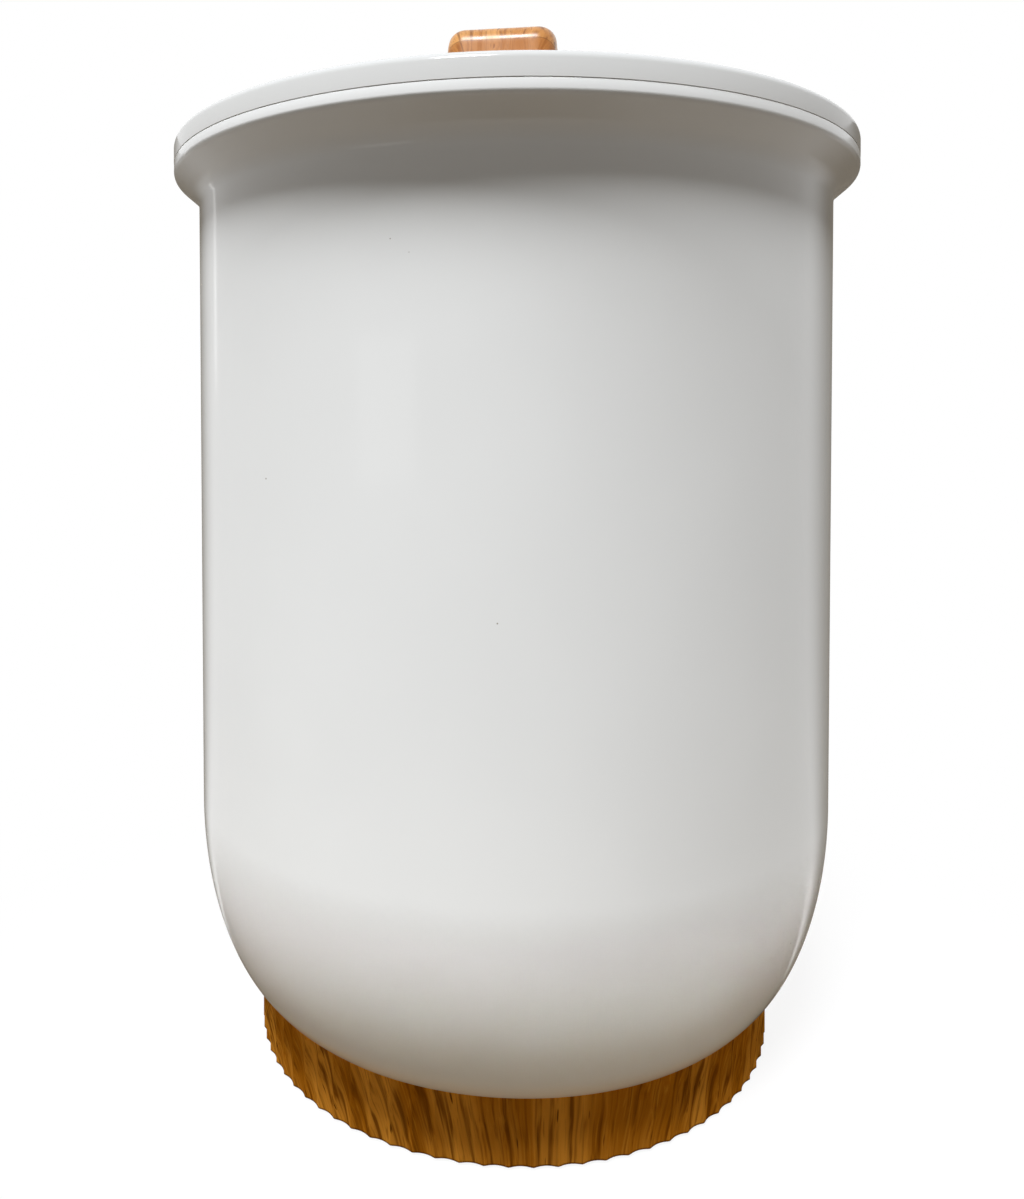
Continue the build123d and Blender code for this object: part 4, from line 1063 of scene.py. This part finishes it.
class BUCKET_OT_mouth(bpy.types.Operator):
    """Make the white collar and the aluminium bucket that it frames"""
    bl_idname = "bucket.mouth"
    bl_label = "Collar and Inner Bucket"

    def execute(self, context):
        sizes = context.scene.bucket_mouth
        shell = context.scene.bucket_shell
        top = shell.height - shell.collar_sink
        low = top - shell.wall
        edge = shell.rim_radius - shell.lip - sizes.edge_gap
        tip = top - sizes.lip_depth
        outside = sizes.radius + sizes.lip
        collar = lathe("white_collar", rounded([
            (edge, low, 0.0), (edge, top, sizes.edge_round), (sizes.radius, top, sizes.lip),
            (sizes.radius, tip, sizes.lip / 3), (outside, tip, sizes.lip / 3), (outside, low, 0.0),
        ]), FINE_TURN)
        publish(context, collar, "bucket", FINISHES["shell"], ["top_collar"])

        mouth = outside + sizes.clearance
        floor = sizes.floor + sizes.wall

        def radius(z):
            return mouth - (low - z) * math.tan(sizes.draft)

        under = low - sizes.wall
        levels = [floor + (under - floor) * k / 12 for k in range(2, 12)]
        bucket = lathe("aluminium_bucket", rounded([
            (0.0, sizes.floor, 0.0),
            (radius(sizes.floor) + sizes.wall, sizes.floor, sizes.corner + sizes.wall),
            *[(radius(z) + sizes.wall, z, 0.0) for z in levels],
            (radius(under) + sizes.wall, under, 0.0),
            (mouth + sizes.flange, under, 0.0),
            (mouth + sizes.flange, low, 0.0),
            (mouth, low, sizes.wall),
            *[(radius(z), z, 0.0) for z in reversed(levels)],
            (radius(floor), floor, sizes.corner),
            (0.0, floor, 0.0)]), FINE_TURN)
        publish(context, bucket, "bucket", FINISHES["aluminium"], ["inner_bucket"])
        return {"FINISHED"}


class BUCKET_OT_underside(bpy.types.Operator):
    """Make the rubber feet and the case screws"""
    bl_idname = "bucket.underside"
    bl_label = "Feet and Case Screws"

    def execute(self, context):
        sizes = context.scene.bucket_underside
        tree = circle_tree()
        hollow_top = sizes.foot_radius * 0.55
        hollow_edge = sizes.foot_radius * 0.62
        foot = lathe("rubber_feet_set", rounded([
            (0.0, sizes.sole_hollow, 0.0), (hollow_top, sizes.sole_hollow, sizes.sole_hollow / 2),
            (hollow_edge, 0.0, 0.3 * MM), (sizes.foot_radius, 0.0, sizes.sole_round),
            (sizes.foot_radius, sizes.foot_height, 0.0), (0.0, sizes.foot_height, 0.0)]), 48)
        feet = grow(foot, tree, {
            "Count": sizes.feet, "Circle Radius": sizes.foot_circle, "Start": math.pi / sizes.feet,
            "Material": FINISHES["rubber"]})
        publish(context, smooth(feet), "bucket", FINISHES["rubber"], ["rubber_feet"])

        seat = PLATE_LOW.z
        tip = seat + sizes.shank_length
        head = seat - sizes.head_height
        screw = lathe("case_screws", rounded([
            (0.0, head, 0.0), (sizes.head_radius, head, sizes.head_height / 2),
            (sizes.head_radius, seat, 0.0), (sizes.shank_radius, seat, 0.0),
            (sizes.shank_radius, tip - MM, 0.0), (sizes.shank_radius / 3, tip, 0.0),
            (0.0, tip, 0.0)]), 32)
        reach = sizes.head_radius * 0.55
        arm_half = 0.8 * MM
        recess_end = seat - sizes.head_height * 0.35
        for wide, long in ((arm_half, reach), (reach, arm_half)):
            cross = [(-wide, -long), (wide, -long), (wide, long), (-wide, long)]
            screw = combine(screw, prism("recess", cross, head - MM, recess_end), "DIFFERENCE")
        screws = grow(screw, tree, {
            "Count": sizes.screws, "Circle Radius": sizes.screw_circle, "Start": 0.0,
            "Material": FINISHES["steel"]})
        publish(context, smooth(screws), "bucket", FINISHES["steel"], ["base_screws"])
        return {"FINISHED"}


class BUCKET_OT_fragrance(bpy.types.Operator):
    """Make the perforated twist cover and its felt pad"""
    bl_idname = "bucket.fragrance"
    bl_label = "Fragrance Cover and Pad"

    def execute(self, context):
        sizes = context.scene.bucket_cover
        low = COVER_LOW.z + sizes.grip_height
        flange_top = low + sizes.flange_thickness
        tray = low + sizes.disc
        top = COVER_HIGH.z
        cover = lathe("twist_cover", rounded([
            (0.0, low, 0.0),
            (sizes.flange, low, sizes.rim_round),
            (sizes.flange, flange_top, sizes.flange_round),
            (sizes.radius, flange_top, 0.0),
            (sizes.radius, top, sizes.wall_round),
            (sizes.radius - sizes.wall, top, sizes.wall_round),
            (sizes.radius - sizes.wall, tray, 0.0),
            (0.0, tray, 0.0),
        ]), FINE_TURN // 2)
        bar = stadium(sizes.grip_length / 2, sizes.grip_width / 2)
        sink = 0.5 * MM
        grip = prism("grip", bar, -(low + sink), sizes.grip_height - low, sizes.grip_round)
        grip.transform(Matrix.Rotation(math.pi, 4, "X"))
        cover = combine(cover, grip, "UNION")
        holder = hold(cover)
        points = bpy.data.meshes.new("perforated_cover")
        points.from_pydata(self.holes(sizes, (low + tray) / 2), [], [])
        mesh = grow(points, perforation_tree(), {
            "Piece": holder, "Hole Radius": sizes.hole, "Hole Depth": sizes.disc * 2,
            "Material": FINISHES["inner_white"]})
        bpy.data.meshes.remove(cover)
        publish(context, smooth(mesh), "fragrance_holder", FINISHES["inner_white"],
                ["fragrance_cover"])

        pad_low, pad_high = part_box("fragrance_pad")
        disc = lathe("felt_disc", rounded([
            (0.0, pad_low.z, 0.0),
            (pad_high.x, pad_low.z, sizes.pad_round),
            (pad_high.x, pad_high.z, sizes.pad_round),
            (0.0, pad_high.z, 0.0),
        ]), 96)
        publish(context, disc, "fragrance_holder", FINISHES["felt"], ["fragrance_pad"])
        return {"FINISHED"}

    def holes(self, sizes, height):
        """Three hexagonal rings of points, clear of the grip."""
        points = []
        for ring in (1, 2, 3):
            for i in range(6 * ring):
                angle = math.tau * (i + 0.5) / (6 * ring)
                x = ring * sizes.pitch * math.cos(angle)
                y = ring * sizes.pitch * math.sin(angle)
                if abs(y) > sizes.grip_width / 2 + sizes.hole:
                    points.append((x, y, height))
        return points


class BUCKET_OT_studio(bpy.types.Operator):
    """Set the plain floor, the lamps, the world and the camera"""
    bl_idname = "bucket.studio"
    bl_label = "Studio"

    def execute(self, context):
        settings = context.scene.bucket_studio
        self.camera(context, settings)
        self.floor(context, settings)
        self.world(context, settings)
        self.lamps(context, settings)
        self.dark_card(context, settings)
        context.scene.view_settings.view_transform = "Standard"
        return {"FINISHED"}

    def camera(self, context, settings):
        data = bpy.data.cameras.new("camera")
        data.lens = settings.focal
        data.sensor_width = 36.0
        data.shift_x = settings.shift_across
        data.shift_y = settings.shift_up
        data.clip_start = 20 * MM
        eye = bpy.data.objects.new("camera", data)
        eye.location = (settings.distance * math.sin(settings.side),
                        -settings.distance * math.cos(settings.side), settings.eye_height)
        eye.rotation_euler = (math.pi / 2 - settings.tilt, 0.0, settings.side + settings.turned)
        context.scene.collection.objects.link(eye)
        context.scene.camera = eye

    def stand(self, context, name, corners, faces, material):
        """Put a flat piece of the stage in the scene."""
        mesh = bpy.data.meshes.new(name)
        mesh.from_pydata(corners, [], faces)
        mesh.materials.append(material)
        piece = bpy.data.objects.new(name, mesh)
        context.scene.collection.objects.link(piece)
        return piece

    def seen(self, tree):
        """What a ray is, and 1 for the camera's rays and those off gloss and through glass: they see
        plain white."""
        rays = add(tree, "ShaderNodeLightPath").node.outputs
        gloss = [rays["Is Camera Ray"], rays["Is Glossy Ray"]]
        seen = add(tree, "ShaderNodeMath", gloss, operation="MAXIMUM")
        seen = add(tree, "ShaderNodeMath", [seen, rays["Is Transmission Ray"]], operation="MAXIMUM")
        return rays, seen

    def floor(self, context, settings):
        """Warm board that bounces light up to the bucket, shown to the camera as white paper.
        Close by, gloss sees a shaded board, and further off it sees the white."""
        ring = RING_HIGH.x
        fade_start, fade_end = 1.02 * ring, 2.6 * ring
        warm_until, dark_from = 1.4 * ring, 3.6 * ring
        half = 6.0
        material, tree = blank("white_studio_floor")
        rays, seen = self.seen(tree)
        where = add(tree, "ShaderNodeTexCoord", output="Object")
        away = add(tree, "ShaderNodeVectorMath", [where], "Value", operation="LENGTH")
        warmth = coated(tree, tuple(settings.board_near), [
            (away, warm_until, dark_from, 1.0, settings.board_far)])
        board = add(tree, "ShaderNodeBsdfDiffuse", {"Color": warmth})
        paper = add(tree, "ShaderNodeBsdfDiffuse", {"Color": settings.paper})
        glow = add(tree, "ShaderNodeEmission", {"Strength": settings.paper_glow})
        lifted = add(tree, "ShaderNodeAddShader", [paper, glow])
        shaded = add(tree, "ShaderNodeBsdfDiffuse", {"Color": settings.board_gloss})
        under = add(tree, "ShaderNodeMixShader", [rays["Is Glossy Ray"], board, shaded])
        near = add(tree, "ShaderNodeMixShader", [rays["Is Camera Ray"], under, lifted])
        white = add(tree, "ShaderNodeEmission", {"Strength": 1.0})
        far = add(tree, "ShaderNodeMixShader", [seen, board, white])
        faded = add(tree, "ShaderNodeMapRange", [away, fade_start, fade_end], **SOFT)
        shown = add(tree, "ShaderNodeMixShader", [faded, near, far])
        add(tree, "ShaderNodeOutputMaterial", {"Surface": shown})
        corners = [(-half, -half, 0.0), (half, -half, 0.0), (half, half, 0.0), (-half, half, 0.0)]
        self.stand(context, "studio_floor", corners, [(0, 1, 2, 3)], material)

    def world(self, context, settings):
        world = bpy.data.worlds.new("studio")
        world.use_nodes = True
        tree = world.node_tree
        tree.nodes.clear()
        seen = self.seen(tree)[1]
        ambient = {"Color": settings.air, "Strength": settings.ambient}
        ambient = add(tree, "ShaderNodeBackground", ambient)
        white = add(tree, "ShaderNodeBackground", {"Color": linear("#FFFFFF"), "Strength": 1.0})
        mixed = add(tree, "ShaderNodeMixShader", [seen, ambient, white])
        add(tree, "ShaderNodeOutputWorld", {"Surface": mixed})
        context.scene.world = world

    def lamps(self, context, settings):
        """Two steep keys on the shell and ring, a lower one on all else so that the lid's crown keeps
        its tone, wide soft lamps all round, a low one for the bowl and a small window for the gloss."""
        # Power, place, and whether it lights the shell and ring only or all but them
        keys = {
            "left_key": (settings.left_key, (-0.66, -0.66, 2.95), "INCLUDE"),
            "right_key": (settings.right_key, (0.47, -0.76, 2.95), "INCLUDE"),
            "main_key": (settings.main_key, (-0.50, -2.10, 2.80), "EXCLUDE"),
        }
        for name, (power, place, state) in keys.items():
            key = self.lamp(context, name, "SUN", power, place)
            key.data.angle = math.radians(15)
            key.data.color = settings.key_colour[:3]
            self.light_only(key, ["white_shell", "fluted_ring"], state)
        # Share of the fill light, and place
        softboxes = {
            "left_softbox": (0.62, (-1.8, -0.30, 0.7)),
            "right_softbox": (0.4, (1.8, -0.30, 0.7)),
            "rear_softbox": (2.6, (0.3, 2.4, 0.9)),
            "front_softbox": (0.5, (0.2, -2.8, 0.5)),
        }
        for name, (share, place) in softboxes.items():
            softbox = self.softbox(context, name, settings.fill * share, place, 1.5, 1.3)
            softbox.visible_glossy = False
        place = (-0.1, -1.3, 0.074)
        low = self.softbox(context, "low_softbox", settings.fill * 0.005, place, 1.2, 0.02)
        low.rotation_euler = (math.pi / 2, 0.0, 0.0)
        low.data.spread = math.radians(3.4)
        low.visible_glossy = False
        self.light_only(low, ["white_shell"], "INCLUDE")
        place = (-1.3, -1.8, 0.29)
        self.softbox(context, "window", settings.fill * 0.05, place, 0.8, 0.35)

    def lamp(self, context, name, kind, power, place):
        """Lamp that faces the middle of the bucket."""
        data = bpy.data.lights.new(name, kind)
        data.energy = power
        lamp = bpy.data.objects.new(name, data)
        lamp.location = place
        middle = Vector((0.0, 0.0, SHELL_HIGH.z / 2))
        lamp.rotation_euler = (middle - lamp.location).to_track_quat("-Z", "Y").to_euler()
        context.scene.collection.objects.link(lamp)
        return lamp

    def softbox(self, context, name, power, place, width, height):
        """Rectangular lamp that faces the middle of the bucket."""
        lamp = self.lamp(context, name, "AREA", power, place)
        lamp.data.shape = "RECTANGLE"
        lamp.data.size = width
        lamp.data.size_y = height
        return lamp

    def light_only(self, lamp, names, state):
        """Let a lamp reach some pieces only, or all but them."""
        receivers = bpy.data.collections.new(lamp.name)
        for name in names:
            receivers.objects.link(bpy.data.objects[name])
        for receiver in receivers.collection_objects:
            receiver.light_linking.link_state = state
        lamp.light_linking.receiver_collection = receivers

    def dark_card(self, context, settings):
        """Card and mat behind the bucket that only its gloss sees: they draw a darker line down each
        side, which fades to white as they spread out, and a thin bright line inside the left one."""
        near = SHELL_HIGH.x - 10 * MM
        half = 3.2
        away = 1.6
        high = 1.0
        fade_start, fade_end = 0.6, 1.5
        gap_middle, gap_half, gap_light = 1.56, 0.06, 0.9
        gap_foot, gap_full = 0.28, 0.5
        material, tree = blank("warm_grey_card")
        where = add(tree, "ShaderNodeTexCoord", output="Object")
        apart = add(tree, "ShaderNodeSeparateXYZ", {"Vector": where}).node.outputs
        aside = add(tree, "ShaderNodeMath", [apart["X"]], operation="ABSOLUTE")
        past = add(tree, "ShaderNodeMath", [aside, near], operation="SUBTRACT")
        spread = add(tree, "ShaderNodeMath", [past, apart["Y"]], operation="DIVIDE")
        shade = coated(tree, tuple(settings.card), [
            (spread, fade_start, fade_end, 1.0, linear("#FFFFFF"))])
        line = add(tree, "ShaderNodeMath", [spread, gap_middle, gap_half], operation="COMPARE")
        left = add(tree, "ShaderNodeMath", [apart["X"], 0.0], operation="LESS_THAN")
        upper = add(tree, "ShaderNodeMapRange", [apart["Z"], gap_foot, gap_full], **SOFT)
        gap = add(tree, "ShaderNodeMath", [line, left], operation="MULTIPLY")
        gap = add(tree, "ShaderNodeMath", [gap, upper], operation="MULTIPLY")
        power = add(tree, "ShaderNodeMath", [gap, gap_light, 1.0], operation="MULTIPLY_ADD")
        grey = add(tree, "ShaderNodeEmission", {"Color": shade, "Strength": power})
        add(tree, "ShaderNodeOutputMaterial", {"Surface": grey})
        corners = [(-near, 0.0, MM), (near, 0.0, MM), (half, away, MM), (-half, away, MM),
                   (half, away, high), (-half, away, high)]
        card = self.stand(context, "dark_card", corners, [(0, 1, 2, 3), (3, 2, 4, 5)], material)
        card.visible_camera = False
        card.visible_diffuse = False
        card.visible_shadow = False


OPERATORS = [
    BUCKET_OT_finishes, BUCKET_OT_outer_shell, BUCKET_OT_base_ring, BUCKET_OT_lid, BUCKET_OT_handle,
    BUCKET_OT_mouth, BUCKET_OT_underside, BUCKET_OT_fragrance, BUCKET_OT_studio,
]


class BUCKET_PT_panel(bpy.types.Panel):
    """Lists the sizes, the finishes and the operators"""
    bl_idname = "BUCKET_PT_panel"
    bl_label = "Towel Warmer Bucket"
    bl_space_type = "VIEW_3D"
    bl_region_type = "UI"
    bl_category = "Towel Warmer"

    def draw(self, context):
        for operator in OPERATORS:
            self.layout.operator(operator.bl_idname)
        for name, group in GROUPS.items():
            box = self.layout.box()
            box.label(text=group.__name__)
            for prop in group.__annotations__:
                box.prop(getattr(context.scene, name), prop)


def register():
    for cls in (*GROUPS.values(), *OPERATORS, BUCKET_PT_panel):
        bpy.utils.register_class(cls)
    for name, group in GROUPS.items():
        setattr(bpy.types.Scene, name, bpy.props.PointerProperty(type=group))


def unregister():
    for name in GROUPS:
        delattr(bpy.types.Scene, name)
    for cls in reversed((*GROUPS.values(), *OPERATORS, BUCKET_PT_panel)):
        bpy.utils.unregister_class(cls)


def main():
    register()
    for operator in OPERATORS:
        group, name = operator.bl_idname.split(".")
        getattr(getattr(bpy.ops, group), name)()


if __name__ == "__main__":
    main()
